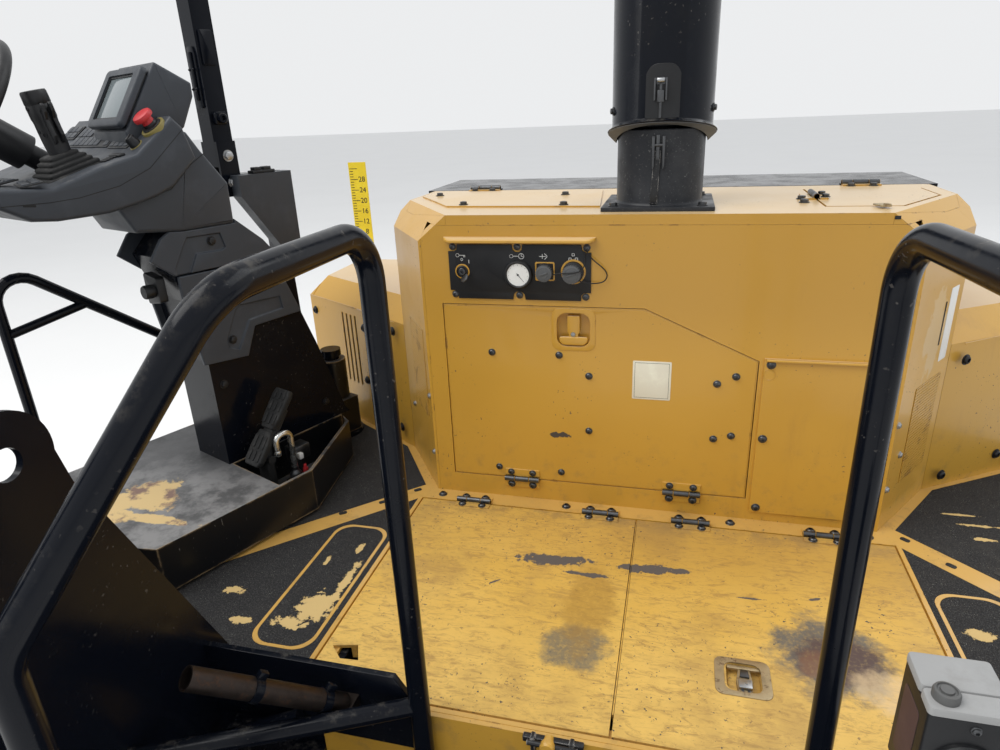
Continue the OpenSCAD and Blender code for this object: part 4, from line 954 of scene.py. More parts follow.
top_bolts = [on_deck(x, y, HOOD_H + up) for x, y, up in (
    (-0.66, 0.435, 0.004), (-0.518, 0.222, 0.004), (-0.236, 0.205, 0.004), (-0.267, 0.425, 0.004), (0.361, 0.302, 0),
    (0.358, 0.235, 0), (-0.589, 0.578, 0), (-0.531, 0.578, 0), (0.531, 0.578, 0), (0.589, 0.578, 0))]
screws("hood_top_bolts", "root", top_bolts, 0.0095, Piece.hex_bolt)
screws("fill_lid_bolts", "fill_lid", [on_deck(0.418, y, HOOD_H + 0.004) for y in (0.306, 0.364)], 0.0085,
       Piece.hex_bolt)
screws("engine_cover_bolts", "engine_cover",
       [on_deck(s * x, 0.625, HOOD_H + 0.0005) for s in (-1, 1) for x in (0.531, 0.589)], 0.0085, Piece.hex_bolt)

# Rear wall

DASH = on_wall(0, 0)
cutter = Piece("cutter")
LATCH = on_wall(-0.188, 0.514)
LATCH_CUP = (0.087, 0.091, 0.026)
cutter.slab(round_rect(*LATCH_CUP), -0.019, 0.01, matrix=LATCH)
carve("service_door", cutter, YELLOW, "service_door")
latch = Piece("service_latch")
latch.ring(round_rect(0.114, 0.113, 0.022), round_rect(*LATCH_CUP), 0, 0.0016, 0.001, LATCH)
latch.slab(fillet([(-0.017, -0.034), (-0.012, -0.034), (-0.012, -0.014), (-0.016, -0.006), (-0.016, 0.036),
                   (0.016, 0.036), (0.016, -0.006), (0.012, -0.014), (0.012, -0.034)][::-1], 0.003),
           -0.012, -0.002, 0.0015, LATCH)
latch.slab(fillet([(-0.039, -0.02), (-0.036, -0.034), (-0.026, -0.042), (0.026, -0.042), (0.036, -0.034),
                   (0.039, -0.02)], 0.007), -0.006, 0.0012, 0.003, LATCH, 3)
latch.done(YELLOW, "service_door")
rivet = Piece("service_latch_rivet")
rivet.rings([(0.0065, -0.003), (0.0065, -0.0015), (0.005, 0.0008), (0, 0.0014)], LATCH @ move(-0.001, -0.013, 0), 24)
rivet.done(ZINC, "service_door")

LABEL = on_wall(0.0145, 0.3845)
label = Piece("blank_label")
label.slab(round_rect(0.097, 0.106, 0.003), 0, 0.0007, 0.0003, LABEL)
label.done(WHITE, "service_door")
border = Piece("blank_label_border")
for w, h, x, y in ((0.086, 0.0008, 0, 0.048), (0.086, 0.0008, 0, -0.048), (0.0008, 0.0968, 0.043, 0),
                   (0.0008, 0.0968, -0.043, 0)):
    border.slab(round_rect(w, h, 0.0003, 1, (x, y)), 0.0005, 0.0009, 0, LABEL)
border.done(BLACK_PLASTIC, "service_door")

keyhole = Piece("keyhole_rings")
for r in (0.0145, 0.0125):
    keyhole.tube([on_wall(0.296 + r * math.cos(a), 0.4185 + r * math.sin(a), 0.0062).translation
                  for a in [2 * math.pi * k / 30 for k in range(31)]], 0.0007, 6)
keyhole.done(YELLOW, "root")
lip = Piece("panel_lip")
lip.loft([[(x, WALL_Y - 0.0065 - out, DECK + z) for out, z in (
    (0, 0.452), (0.0, 0.459), (0.007, 0.4605), (0.0085, 0.459), (0.0085, 0.455),
    (0.007, 0.4545))] for x in (0.286, 0.541)])
lip.done(YELLOW, "root", bevel=0.0008)

DOOR_GAP = 0.003
DOOR_PLAN = mm([(-535, 66), (266, 66), (266, 447), (-10, 571), (-535, 571)])
seam = Piece("door_seams")
seam.ring(offset(DOOR_PLAN, 0.0002 - DOOR_GAP), offset(DOOR_PLAN, -0.0004), -0.015, -0.0012, 0.0003, DASH)
seam.done(YELLOW, "root")
split = Piece("floor_seams")
split.box((-0.0091, -0.655, -0.02), (-0.0065, -0.02, -0.0025), on_deck(0, 0))
split.done(FLOOR, "floor_door_left")

ledge = Piece("panel_ledge")
profile = [(0, 0.753), (0.010, 0.7525), (0.018, 0.7505), (0.0235, 0.7465), (0.0245, 0.742), (0.0232, 0.7405),
           (0.0205, 0.7425), (0.016, 0.7475), (0.009, 0.7495), (0, 0.75)]
loops = []
for x, k in ((-0.523, 0.25), (-0.519, 0.6), (-0.511, 0.9), (-0.5, 1), (-0.155, 1), (-0.144, 0.9), (-0.136, 0.6),
             (-0.132, 0.25)):
    loops.append([(x, WALL_Y - out * k, DECK + 0.753 - (0.753 - z) * (0.4 + 0.6 * k)) for out, z in profile])
ledge.loft(loops)
ledge.done(YELLOW, "root")

# A black pad stands in for the shade inside the relief notch at the top fold's right end.
notch_shade = Piece("fold_notch_shade")
notch_shade.box((-0.006, -0.004, -0.001), (0.006, 0.004, 0.0012), on_wall(0.523, 0.797), 0.0005)
notch_shade.done(BLACK_PLASTIC, "root")

# Instrument panel

PANEL_OUTLINE = [(-0.491, 0.592), (-0.344, 0.592), (-0.342, 0.606), (-0.334, 0.613), (-0.321, 0.613), (-0.313, 0.606),
                 (-0.311, 0.592), (-0.168, 0.592), (-0.167, 0.606), (-0.16, 0.613), (-0.143, 0.613), (-0.143, 0.715),
                 (-0.155, 0.714), (-0.165, 0.72), (-0.168, 0.734), (-0.316, 0.734), (-0.318, 0.721), (-0.325, 0.715),
                 (-0.335, 0.715), (-0.342, 0.721), (-0.344, 0.734), (-0.489, 0.734), (-0.49, 0.721), (-0.497, 0.716),
                 (-0.513, 0.716), (-0.513, 0.614), (-0.499, 0.613), (-0.492, 0.606)]
panel = Piece("panel_plate")
panel.slab(PANEL_OUTLINE, 0, 0.0045, 0.0008, DASH, 2)
GAUGE = on_wall(-0.328, 0.658)
panel.rings([(0.0375, 0.0045), (0.0375, 0.009), (0.0355, 0.0125), (0.032, 0.0138), (0.0298, 0.0125), (0.0288, 0.0098)],
            GAUGE, 48)
panel.rings([(0.0155, 0.0045), (0.0155, 0.008), (0.0135, 0.0098), (0.012, 0.0098), (0.0115, 0.0065), (0, 0.0065)],
            on_wall(-0.477, 0.664), 32)
panel.rings([(0.0225, 0.0045), (0.0225, 0.01), (0.021, 0.0115), (0, 0.0115)], on_wall(-0.259, 0.666), 36)
panel.rings([(0.0262, 0.0045), (0.0262, 0.012), (0.024, 0.0135), (0, 0.0135)], on_wall(-0.187, 0.666), 36)
panel.done(BLACK_PLASTIC, "root", replaces=("instrument_panel",))
screws("panel_screws", "root", [on_wall(x, z) for x, z in (
    (-0.501, 0.7275), (-0.33, 0.728), (-0.154, 0.7265), (-0.501, 0.602), (-0.327, 0.603), (-0.156, 0.602))], 0.0072)

rims = Piece("panel_yellow_rims")
for x, z, r0, r1 in ((-0.477, 0.664, 0.0158, 0.0195), (-0.187, 0.667, 0.0265, 0.0315)):
    rims.ring(disc(r1), disc(r0), 0.003, 0.0052, 0.0006, on_wall(x, z))
rims.ring(round_rect(0.05, 0.048, 0.004), round_rect(0.043, 0.041, 0.003), 0.003, 0.0052, 0.0006,
          on_wall(-0.259, 0.667))
rims.done(YELLOW, "root")


def knurled_cap(caps, x, z, r, out):
    cap = []
    for k in range(72):
        reach = r if k % 3 < 2 else r * 0.93
        a = 2 * math.pi * k / 72
        cap.append((reach * math.cos(a), reach * math.sin(a)))
    caps.slab(cap, out, out + 0.0145, 0.0012, on_wall(x, z))
    caps.rings([(0.8 * r, out + 0.0145), (0.76 * r, out + 0.0152), (0.74 * r, out + 0.0135), (0.56 * r, out + 0.0135),
                (0.53 * r, out + 0.0155), (0, out + 0.0158)], on_wall(x, z), 36)
    caps.box((-0.5 * r, -0.0018, out + 0.015), (0.5 * r, 0.0018, out + 0.018), on_wall(x, z) @ turn(20, "Z"), 0.0006)


caps = Piece("connector_caps")
knurled_cap(caps, -0.259, 0.665, 0.021, 0.0115)
knurled_cap(caps, -0.189, 0.664, 0.0235, 0.0135)
caps.done(KEYS, "root")
dial = Piece("gauge_dial")
dial.rings([(0.0292, 0.006), (0.0292, 0.0099), (0, 0.0099)], GAUGE, 48)
dial.done(DIAL, "root")
marks = Piece("gauge_marks")
for k in range(11):
    marks.slab(round_rect(0.0006, 0.003, 0.0002, 1), 0.0099, 0.0101, 0,
               GAUGE @ turn(120 - 24 * k, "Z") @ move(0, 0.0252, 0))
marks.slab([(-0.0009, -0.005), (0.0009, -0.005), (0.0003, 0.0235), (-0.0003, 0.0235)], 0.0104, 0.0107, 0,
           GAUGE @ turn(-140, "Z"))
marks.rings([(0.0024, 0.0099), (0.0024, 0.0116), (0, 0.0118)], GAUGE, 16)
marks.done(BLACK_PLASTIC, "root")
key = Piece("ignition_key")
KEY = on_wall(-0.477, 0.664) @ turn(-140, "Z")
key.rings([(0.0095, 0.0065), (0.0095, 0.0105), (0.0085, 0.0115), (0, 0.0115)], KEY, 24)
key.box((-0.0012, -0.004, 0.0115), (0.0012, 0.004, 0.021), KEY, 0.0004)
key.slab(fillet([(-0.0105, 0.0205), (0.0105, 0.0205), (0.0125, 0.031), (0.0065, 0.041), (-0.0065, 0.041),
                 (-0.0125, 0.031)], 0.004), -0.0011, 0.0011, 0.0005, KEY @ turn(90, "X") @ turn(-35, "X"), 2)
key.done(BOLT, "root")


def strokes(piece, lines, matrix, width=0.0012, high=0.0005):
    """Thin printed lines."""
    for line in lines:
        for a, b in zip(line, line[1:]):
            a, b = Vector(a), Vector(b)
            d = (b - a).normalized() * width / 2
            n = Vector((-d.y, d.x))
            piece.slab([a - d - n, b + d - n, b + d + n, a - d + n], 0, high, 0, matrix)


def circle(x, y, r, steps=12):
    around = [2 * math.pi * k / steps for k in range(steps + 1)]
    return [(x + r * math.cos(a), y + r * math.sin(a)) for a in around]


signs = Piece("panel_signs")
strokes(signs, [circle(-0.488, 0.706, 0.0045), [(-0.4835, 0.706), (-0.468, 0.706)], [(-0.471, 0.706), (-0.471, 0.7015)],
                [(-0.468, 0.706), (-0.468, 0.702)], circle(-0.477, 0.695, 0.003, 8), [(-0.458, 0.694), (-0.458, 0.686)],
                circle(-0.345, 0.705, 0.0045), [(-0.34, 0.705), (-0.328, 0.705)], circle(-0.319, 0.705, 0.007),
                [(-0.319, 0.71), (-0.319, 0.705), (-0.315, 0.7035)],
                [(-0.259, 0.712), (-0.252, 0.705), (-0.259, 0.698)], [(-0.272, 0.705), (-0.257, 0.705)],
                [(-0.265, 0.710), (-0.265, 0.700)]]
        + [[(x - 0.003, z - 0.003), (x + 0.003, z - 0.003), (x + 0.003, z + 0.003), (x - 0.003, z + 0.003),
            (x - 0.003, z - 0.003)]
           for x, z in ((-0.187, 0.71), (-0.195, 0.699), (-0.179, 0.699))], on_wall(0, 0, 0.0045))
signs.done(DIAL, "root")

# Floor doors

def cup(piece, w, h, r, depth, wall, taper, matrix):
    """Open dish of sheet metal, its rim at the frame's origin."""
    piece.loft([[(x, y, z) for x, y in round_rect(w + 2 * grow, h + 2 * grow, r + grow)] for grow, z in (
        (wall - taper, -depth - wall), (wall, 0), (0, 0), (-taper, -depth))], matrix)


FLOOR_LATCH = on_deck(0.2337, -0.5152)
DISH = (0.0695, 0.073, 0.016)
cutter = Piece("cutter")
cutter.slab(round_rect(DISH[0] + 0.002, DISH[1] + 0.002, 0.017), -0.06, 0.01, matrix=FLOOR_LATCH)
carve("floor_door_right", cutter, FLOOR, "floor_door_right")
HAND_SLOT = [(-0.606, -0.603), (-0.553, -0.591), (-0.534, -0.631), (-0.574, -0.634)]
cutter = Piece("cutter")
cutter.slab(HAND_SLOT, -0.06, 0.01, matrix=on_deck(0, 0))
carve("floor_door_left", cutter, FLOOR, "floor_door_left")

dish = Piece("floor_latch_dish")
cup(dish, *DISH, 0.019, 0.0012, 0.004, FLOOR_LATCH)
dish.slab(fillet([(-0.03, -0.03), (0.03, -0.03), (0.03, 0.03), (-0.03, 0.03)], 0.01), -0.0192, -0.017, 0.001,
          FLOOR_LATCH)
dish.done(FLOOR, "floor_door_right")
flange = Piece("floor_latch_flange")
flange.ring(round_rect(0.105, 0.097, 0.016), round_rect(*DISH), 0, 0.0022, 0.001, FLOOR_LATCH @ move(-0.004, -0.002, 0))
flange.done(WORN, "floor_door_right", "floor_paint")
handle = Piece("floor_latch_handle")
handle.box((-0.032, 0.022, -0.007), (0.032, 0.031, -0.001), FLOOR_LATCH, 0.0015)
handle.slab(fillet([(-0.013, -0.031), (0.013, -0.031), (0.0155, -0.005), (0.0105, 0.03), (-0.0105, 0.03),
                    (-0.0155, -0.005)], 0.003), -0.014, -0.004, 0.002, FLOOR_LATCH)
handle.done(WORN, "floor_door_right", "bare_steel")
block = Piece("floor_latch_block")
block.box((-0.0125, -0.029, -0.006), (0.0125, -0.007, 0.0035), FLOOR_LATCH, 0.0015)
block.rings([(0.0028, 0.0034), (0.0028, 0.0048), (0, 0.005)], FLOOR_LATCH @ move(0.002, -0.018, 0), 16)
block.done(ZINC, "floor_door_right")
hook = Piece("floor_latch_hook")
for x in (-0.008, 0.004):
    hook.box((x, -0.037, -0.016), (x + 0.005, -0.028, -0.001), FLOOR_LATCH, 0.001)
hook.slab([(-0.009, -0.006), (0.009, -0.006), (0.007, 0.012), (-0.007, 0.012)], -0.005, 0.0002, 0.0008,
          FLOOR_LATCH @ move(0, 0.008, 0))
hook.done(BOLT, "floor_door_right")

# Perforated vents

HOLE_PITCH, HOLE_R = 0.0085, 0.0026


def vent(name, plane, x0, x1, z0, z1):
    """Sheet with a grid of real holes, over a black sheet that stands in for the shade behind them."""
    columns, rows = round((x1 - x0) / HOLE_PITCH), round((z1 - z0) / HOLE_PITCH)
    sx, sz = (x1 - x0) / columns, (z1 - z0) / rows
    piece = Piece(name)
    square = [(1, 0), (1, 1), (0, 1), (-1, 1), (-1, 0), (-1, -1), (0, -1), (1, -1)]
    for i in range(columns):
        for j in range(rows):
            cx, cz = x0 + (i + 0.5) * sx, z0 + (j + 0.5) * sz
            loops = []
            for z in (0.0004, 0.0016):
                loops.append([(cx + a * sx / 2, cz + b * sz / 2, z) for a, b in square])
                loops.append([(cx + HOLE_R * math.cos(k * math.pi / 4), cz + HOLE_R * math.sin(k * math.pi / 4), z)
                              for k in range(8)])
            rows_of = [[piece.bm.verts.new(plane @ Vector(p)) for p in loop] for loop in loops]
            low_out, low_in, top_out, top_in = rows_of
            for k in range(8):
                m = (k + 1) % 8
                piece.bm.faces.new((top_out[k], top_out[m], top_in[m], top_in[k]))
                piece.bm.faces.new((top_in[k], top_in[m], low_in[m], low_in[k]))
                piece.bm.faces.new((low_in[k], low_in[m], low_out[m], low_out[k]))
                dx, dz = square[k][0] + square[m][0], square[k][1] + square[m][1]
                if (dx, i) in ((2, columns - 1), (-2, 0)) or (dz, j) in ((2, rows - 1), (-2, 0)):
                    piece.bm.faces.new((low_out[k], low_out[m], top_out[m], top_out[k]))
    weld(piece.bm, 1e-5)
    piece.done(YELLOW, "root")
    # Black sheet behind the holes: painted shade of the hollow behind the vent.
    backing = Piece(name + "_mesh")
    backing.slab([(x0, z0), (x1, z0), (x1, z1), (x0, z1)], 0.0001, 0.0005, 0, plane)
    backing.done(RUBBER, "root", "black_plastic")


vent("vent_left", LEFT_CORNER, -0.185, -0.035, 0.22, 0.49)
vent("vent_right", RIGHT_CORNER, 0.09, 0.25, 0.107, 0.37)
strip = Piece("blank_strip")
strip.slab(round_rect(0.05, 0.192, 0.003, 3, (0.237, 0.504)), 0, 0.0007, 0.0003, RIGHT_CORNER)
strip.done(DIAL, "root")
# Black pads stand in for the shade inside the slot, the louvre openings and the cut-outs in the deck strips.
slots = Piece("slot_openings_shade")
slots.slab(round_rect(0.008, 0.113, 0.003, 3, (0.19, 0.5145)), 0, 0.0006, 0, RIGHT_CORNER)
LOUVRES = [0.015 + 0.027 * k for k in range(4)]
for x in LOUVRES:
    slots.slab(round_rect(0.0045, 0.255, 0.002, 3, (-x, 0.2775)), 0, 0.0006, 0, LEFT_BOX)
    slots.slab(round_rect(0.0045, 0.255, 0.002, 3, (x, 0.2775)), 0, 0.0006, 0, RIGHT_BOX)
for x, y, spin in ((-0.822, -0.124, 40), (-0.732, -0.048, 40), (-0.655, 0.035, 40), (0.729, -0.062, -40),
                   (0.824, -0.077, -40), (0.6546, 0.03, -40)):
    slots.slab(round_rect(0.023, 0.014, 0.005, 3), 0, 0.0014, 0.0004, on_deck(x, y, 0) @ turn(spin, "Z"))
slots.done(RUBBER, "root", "black_plastic")
CATCH = on_deck(0.51, 0.14, HOOD_H + 0.004) @ turn(12, "Z")
tab = Piece("lid_catch")
tab.slab(fillet([(-0.012, -0.022), (0.012, -0.022), (0.014, 0.02), (-0.014, 0.02)], 0.004), 0, 0.0035, 0.001, CATCH)
tab.box((-0.005, -0.03, 0.001), (0.006, -0.012, 0.008), CATCH, 0.002)
tab.done(WORN, "root", "yellow_paint")
lips = Piece("louvre_lips")
for x in LOUVRES:
    for plane, at in ((LEFT_BOX, -x - 0.0045), (RIGHT_BOX, x + 0.0045)):
        lips.slab(round_rect(0.0035, 0.258, 0.0015, 3, (at, 0.2775)), 0, 0.003, 0.0012, plane)
for plane, sign, long in ((LEFT_BOX_NEAR, -1, 0.25), (RIGHT_BOX_NEAR, 1, 0.25), (LEFT_BOX, -1, 0.312),
                          (RIGHT_BOX, 1, 0.312)):
    lips.slab([(sign * x, z) for x, z in ((0.004, 0.4335), (long, 0.4335), (long, 0.4375), (0.004, 0.4375))], 0, 0.0016,
              0.0006, plane)
lips.done(YELLOW, "root")

# Level scale with its numbers

scale = Piece("scale_marks")
SCALE_FACE = frame_at(deck(-1.205, 0.924, 0.5), -Y, Z)
for k in range(36):
    low, long = 0.0055 + 0.010125 * k, 0.032 if k % 4 == 3 else 0.014
    scale.slab([(0.004, low), (0.004 + long, low), (0.004 + long, low + 0.0022), (0.004, low + 0.0022)], 0, 0.0004, 0,
               SCALE_FACE)
scale.done(BLACK_PLASTIC, "root")
for k in range(8):
    text = bpy.data.curves.new("scale_number_%d" % (4 * k), "FONT")
    text.body = str(4 * k)
    text.size = 0.028
    text.extrude = 0.0003
    text.align_x, text.align_y = "CENTER", "CENTER"
    obj = put(text.name, text)
    obj.matrix_world = SCALE_FACE @ move(0.052, 0.037 + 0.0405 * k, 0.0003)
    text.materials.append(BLACK_PLASTIC)
    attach(obj, "root")

# Exhaust stack

STACK_X, STACK_Y = 0.008, 0.23
LOW_R, UP_R, SKIRT_R = 0.107, 0.122, 0.133
STACK = on_deck(STACK_X, STACK_Y)
FLANGE_Z, COLLAR_Z, STACK_TOP = 0.985, 0.9935, 1.7635
EAR_Y, EAR_Z, EAR_R = 0.145, FLANGE_Z + 0.0155, 0.012

base = Piece("stack_base_tube")
base.slab(round_rect(0.27, 0.27, 0.006, 3), HOOD_H, HOOD_H + 0.01, 0.0015, STACK)
base.rings([(LOW_R - 0.005, HOOD_H + 0.01), (LOW_R + 0.003, HOOD_H + 0.01), (LOW_R + 0.001, HOOD_H + 0.013),
            (LOW_R, HOOD_H + 0.017), (LOW_R, FLANGE_Z + 0.006), (LOW_R - 0.002, FLANGE_Z + 0.008),
            (LOW_R - 0.005, FLANGE_Z + 0.008), (LOW_R - 0.005, HOOD_H + 0.01)], STACK, 64)
weld(base.bm)
for x in (-0.031, 0.022):
    base.box((x, 0.1, FLANGE_Z - 0.004), (x + 0.009, EAR_Y + 0.008, FLANGE_Z + 0.008), STACK, 0.001)
    base.rod(EAR_R, 0, 0.009, STACK @ move(x, EAR_Y, EAR_Z) @ turn(90, "Y"), 28)
base.rod(0.006, 0, 0.062, STACK @ move(-0.031, EAR_Y, EAR_Z) @ turn(90, "Y"), 20)
base.done(SCORCHED, "root", replaces=("stack_base",))

STACK_SIDES = 96


def drooped(piece, levels):
    """Closed skin around the stack, of rings with a radius, a height at the front and a droop at the sides."""
    loops = []
    for r, z, droop in levels:
        loop = []
        for k in range(STACK_SIDES):
            a = 2 * math.pi * k / STACK_SIDES
            low = z if math.sin(a) < 0 else z - 0.012 * math.sin(a) * (droop > 0)
            loop.append((r * math.cos(a), r * math.sin(a), low - droop * (1 - abs(math.sin(a)) ** 0.9)))
        loops.append(loop)
    piece.loft(loops + [loops[0]], STACK, closed=False)
    weld(piece.bm)


upper = Piece("stack_upper_tube")
drooped(upper, ((0.1105, 1.006, 0.044), (SKIRT_R - 0.001, 1.011, 0.03), (SKIRT_R, 1.0125, 0.03),
                (SKIRT_R - 0.001, 1.0135, 0.03), (UP_R + 0.002, 1.0165, 0.026), (UP_R, 1.019, 0.022),
                (UP_R, STACK_TOP - 0.001, 0), (UP_R - 0.001, STACK_TOP, 0), (UP_R - 0.005, STACK_TOP, 0),
                (UP_R - 0.005, 1.03, 0), (UP_R - 0.003, 1.014, 0.026), (0.1115, 1.0075, 0.047)))
brim = Piece("stack_brim")
drooped(brim, ((0.1115, 1.0045, 0.044), (SKIRT_R - 0.0015, 1.0098, 0.03), (SKIRT_R - 0.0015, 1.0088, 0.03),
               (0.1115, 1.0035, 0.044)))
brim.done(KEYS, "stack_upper", "black_paint")
upper.box((-0.02, UP_R - 0.004, COLLAR_Z + 0.002), (0.02, EAR_Y, COLLAR_Z + 0.014), STACK, 0.001)
upper.rod(EAR_R, 0, 0.04, STACK @ move(-0.02, EAR_Y, EAR_Z) @ turn(90, "Y"), 28)
upper.done(BLACK, "stack_upper", replaces=("stack_upper",))


def wrap(piece, xs, lows, tops, r_in, r_out):
    """Curved plate on the stack's rear, between the heights lows and tops at each x."""
    loops = []
    for x, low, top in zip(xs, lows, tops):
        loops.append([(x, -math.sqrt(r * r - x * x), z)
                      for r, z in ((r_in, low), (r_in, top), (r_out, top), (r_out, low))])
    piece.loft(loops, STACK)


recess = Piece("stack_recess")
RECESS_STEPS = 22
xs = [-0.036 + 0.078 * k / RECESS_STEPS for k in range(RECESS_STEPS + 1)]
arch = [1.134 - 0.022 * abs((x - 0.003) / 0.039) ** 4 for x in xs]
wrap(recess, xs, [1.017] * len(xs), arch, UP_R - 0.002, UP_R + 0.0014)
recess.done(BLACK_PLASTIC, "stack_upper", bevel=0.001)
REAR = STACK @ move(0, -UP_R, 0) @ turn(90, "X")
catch = Piece("stack_catch")
for x in (-0.017, 0.009):
    catch.slab(fillet([(x, 1.056), (x + 0.004, 1.056), (x + 0.004, 1.1), (x, 1.1)], 0.001), 0, 0.013, 0.001, REAR)
catch.box((-0.017, 1.09, 0.001), (0.013, 1.104, 0.0035), REAR, 0.0008)
catch.box((-0.0045, 1.018, 0.002), (0.0015, 1.094, 0.0055), REAR, 0.0008)
catch.box((-0.0095, 1.052, 0.004), (0.0065, 1.078, 0.0095), REAR, 0.002)
catch.done(BOLT, "stack_upper", "black_paint")
pin = Piece("stack_catch_pin")
pin.rings([(0, 0), (0.005, 0), (0.0055, 0.001), (0.0055, 0.015), (0.005, 0.016), (0, 0.016)],
          REAR @ move(-0.01, 1.099, 0.009) @ turn(90, "Y"), 20)
pin.done(ZINC, "stack_upper")
LOW_REAR = STACK @ move(0, -LOW_R, 0) @ turn(90, "X")
strap = Piece("stack_strap")
strap.slab([(-0.0185, 0.822), (-0.0005, 0.822), (0.0035, 0.945), (-0.0115, 0.945)], 0.0005, 0.0042, 0.0008, LOW_REAR)
strap.done(WORN_BLACK, "root")
cheeks = Piece("stack_strap_cheeks")
for x0, x1 in ((-0.0175, -0.0135), (0.0065, 0.0105)):
    cheeks.slab(fillet([(x0 + 0.002, 0.9), (x1 + 0.002, 0.91), (x1 + 0.003, 0.978), (x0, 0.978)], 0.001), 0.0005, 0.011,
                0.001, LOW_REAR)
cheeks.box((-0.0075, 0.925, 0.003), (0.0005, 0.981, 0.0075), LOW_REAR, 0.0008)
cheeks.rod(0.0032, 0, 0.03, LOW_REAR @ move(-0.018, 0.958, 0.007) @ turn(90, "Y"), 16)
cheeks.done(BOLT, "root", "black_paint")
screws("stack_side_bolts", "stack_upper",
       [STACK @ turn(a, "Z") @ move(0, -UP_R, 1.036) @ turn(90, "X") for a in (-72, 78, 180)], 0.0075, Piece.hex_bolt)
screws("stack_plate_bolts", "root",
       [STACK @ move(x, y, HOOD_H + 0.01) for x in (-0.106, 0.106) for y in (-0.106, 0.106)], 0.0095, Piece.hex_bolt)

# Rear edge: guard, stowed bar's clips, socket box, bracket

guard = Piece("rear_guard_tube")
guard.tube([deck(-0.352, LEG_Y + 0.002, 0.04), deck(-0.5, LEG_Y - 0.069, 0.04), deck(-0.806, LEG_Y - 0.212, 0.04)],
           0.017, 32)
guard.slab([(-0.8159, -0.08), (-0.372, -0.08), (-0.372, 0.045), (-0.4, 0.09), (-0.8159, 0.09)][::-1], 0, 0.012, 0.002,
           frame_at(deck(0, -0.73, 0), -Y, Z))
guard.done(BLACK, "root", replaces=("rear_guard",))
BAR_LOW, BAR_HIGH = deck(-0.497, -0.765, 0.03), deck(-0.652, -0.944, 0.236)
along_bar = (BAR_HIGH - BAR_LOW).normalized()
clip = Piece("bar_clips")
for t in (0.045, 0.19):
    matrix = frame_at(BAR_LOW + along_bar * t, along_bar, Z)
    clip.rings([(0.0202, -0.008), (0.0225, -0.008), (0.0225, 0.008), (0.0202, 0.008), (0.0202, -0.008)], matrix, 32)
    clip.box((-0.006, 0.02, -0.008), (0.006, 0.034, 0.008), matrix, 0.001)
    weld(clip.bm)
clip.tube([deck(-0.6, -0.76, -0.03), deck(-0.69, -0.775, -0.065), deck(-0.8, -0.79, -0.115)], 0.014, 24)
clip.done(BLACK, "root")

SOCKET = on_deck(0.372, -0.979)
box = Piece("socket_box_body")
box.slab(round_rect(0.079, 0.079, 0.005, 4), 0.34, 0.4695, 0.0015, SOCKET)
box.rings([(0, -0.23), (0.044, -0.23), (0.044, -0.222), (0.042, -0.22), (0.022, -0.22), (0.022, 0.341), (0, 0.341)],
          SOCKET, 36)
FRONT = SOCKET @ move(0, -0.0395, 0) @ turn(90, "X")
box.rings([(0.032, -0.004), (0.032, 0.004), (0.0295, 0.007), (0.0265, 0.007), (0.0255, 0.004), (0.0255, -0.001),
           (0, -0.001)], FRONT @ move(0.002, 0.408, 0), 40)
box.rings([(0.012, 0), (0.012, 0.004), (0, 0.004)], FRONT @ move(0.002, 0.408, -0.003), 24)
box.done(BLACK_PLASTIC, "root", replaces=("junction_box",))
screws("socket_box_screws", "root",
       [FRONT @ move(x, z, 0) for x, z in ((0.004, 0.459), (-0.03, 0.352), (0.031, 0.352))], 0.004)
lid = Piece("socket_box_lid")
lid.slab(round_rect(0.08, 0.05, 0.005, 4, (0, 0.015)), 0.4695, 0.4795, 0.003, SOCKET)
lid.slab(round_rect(0.08, 0.0285, 0.005, 4, (0, -0.0252)), 0.4695, 0.479, 0.0025, SOCKET)
lid.done(LID, "root")
cap = Piece("socket_box_knob")
cap.rings([(0.013, 0.475), (0.013, 0.486), (0.0118, 0.4885), (0.0095, 0.4895), (0.0088, 0.4878), (0.0068, 0.4878),
           (0.0062, 0.4898), (0, 0.49)], SOCKET @ move(-0.021, -0.022, 0), 36)
cap.done(LID_DARK, "root")
# Brown-grey patch on the box's lit left face: a painted sheen.
patch = Piece("socket_box_side_sheen")
patch.slab(round_rect(0.046, 0.09, 0.006), 0, 0.0006, 0.0003, frame_at(SOCKET @ Vector((-0.0396, 0.002, 0.405)), -X, Z))
patch.done(BROWN_SIDE_SHEEN, "root")

REAR_EDGE = frame_at(deck(0, -0.731, 0), -Y, Z)
bracket = Piece("rear_edge_latch")
bracket.box((-0.16, -0.006, 0), (-0.05, 0.006, 0.012), REAR_EDGE, 0.002)
bracket.box((-0.145, -0.036, 0), (-0.137, 0.01, 0.016), REAR_EDGE, 0.002)
bracket.box((-0.075, -0.036, 0), (-0.067, 0.01, 0.016), REAR_EDGE, 0.002)
bracket.tube([REAR_EDGE @ Vector(p) for p in ((-0.15, 0.002, 0.018), (-0.12, 0.004, 0.02), (-0.09, 0.003, 0.02),
                                              (-0.06, 0, 0.018))], 0.005, 16)
bracket.done(WORN_BLACK, "root")
knob = Piece("rear_edge_knob")
knob.rings([(0.008, 0.004), (0.009, 0.012), (0.013, 0.02), (0.0135, 0.028), (0.011, 0.032), (0, 0.033)],
           REAR_EDGE @ move(-0.112, 0.006, 0), 28)
knob.done(YELLOW, "root")

# Console

SIDE = Matrix(((0, 0, 1, 0), (1, 0, 0, 0), (0, 1, 0, 0), (0, 0, 0, 1)))
PROFILE = PLATFORM @ move(0, PEDESTAL_Y, 0) @ SIDE


def desk_plane(y0, z0, y1, z1):
    """Frame on the console's top: X to the right, Y up the slope from the first profile point."""
    up = Vector((0, y1 - y0, z1 - z0)).normalized()
    return PLATFORM @ frame_at(Vector((0, y0 + PEDESTAL_Y, z0)), X.cross(up), up)


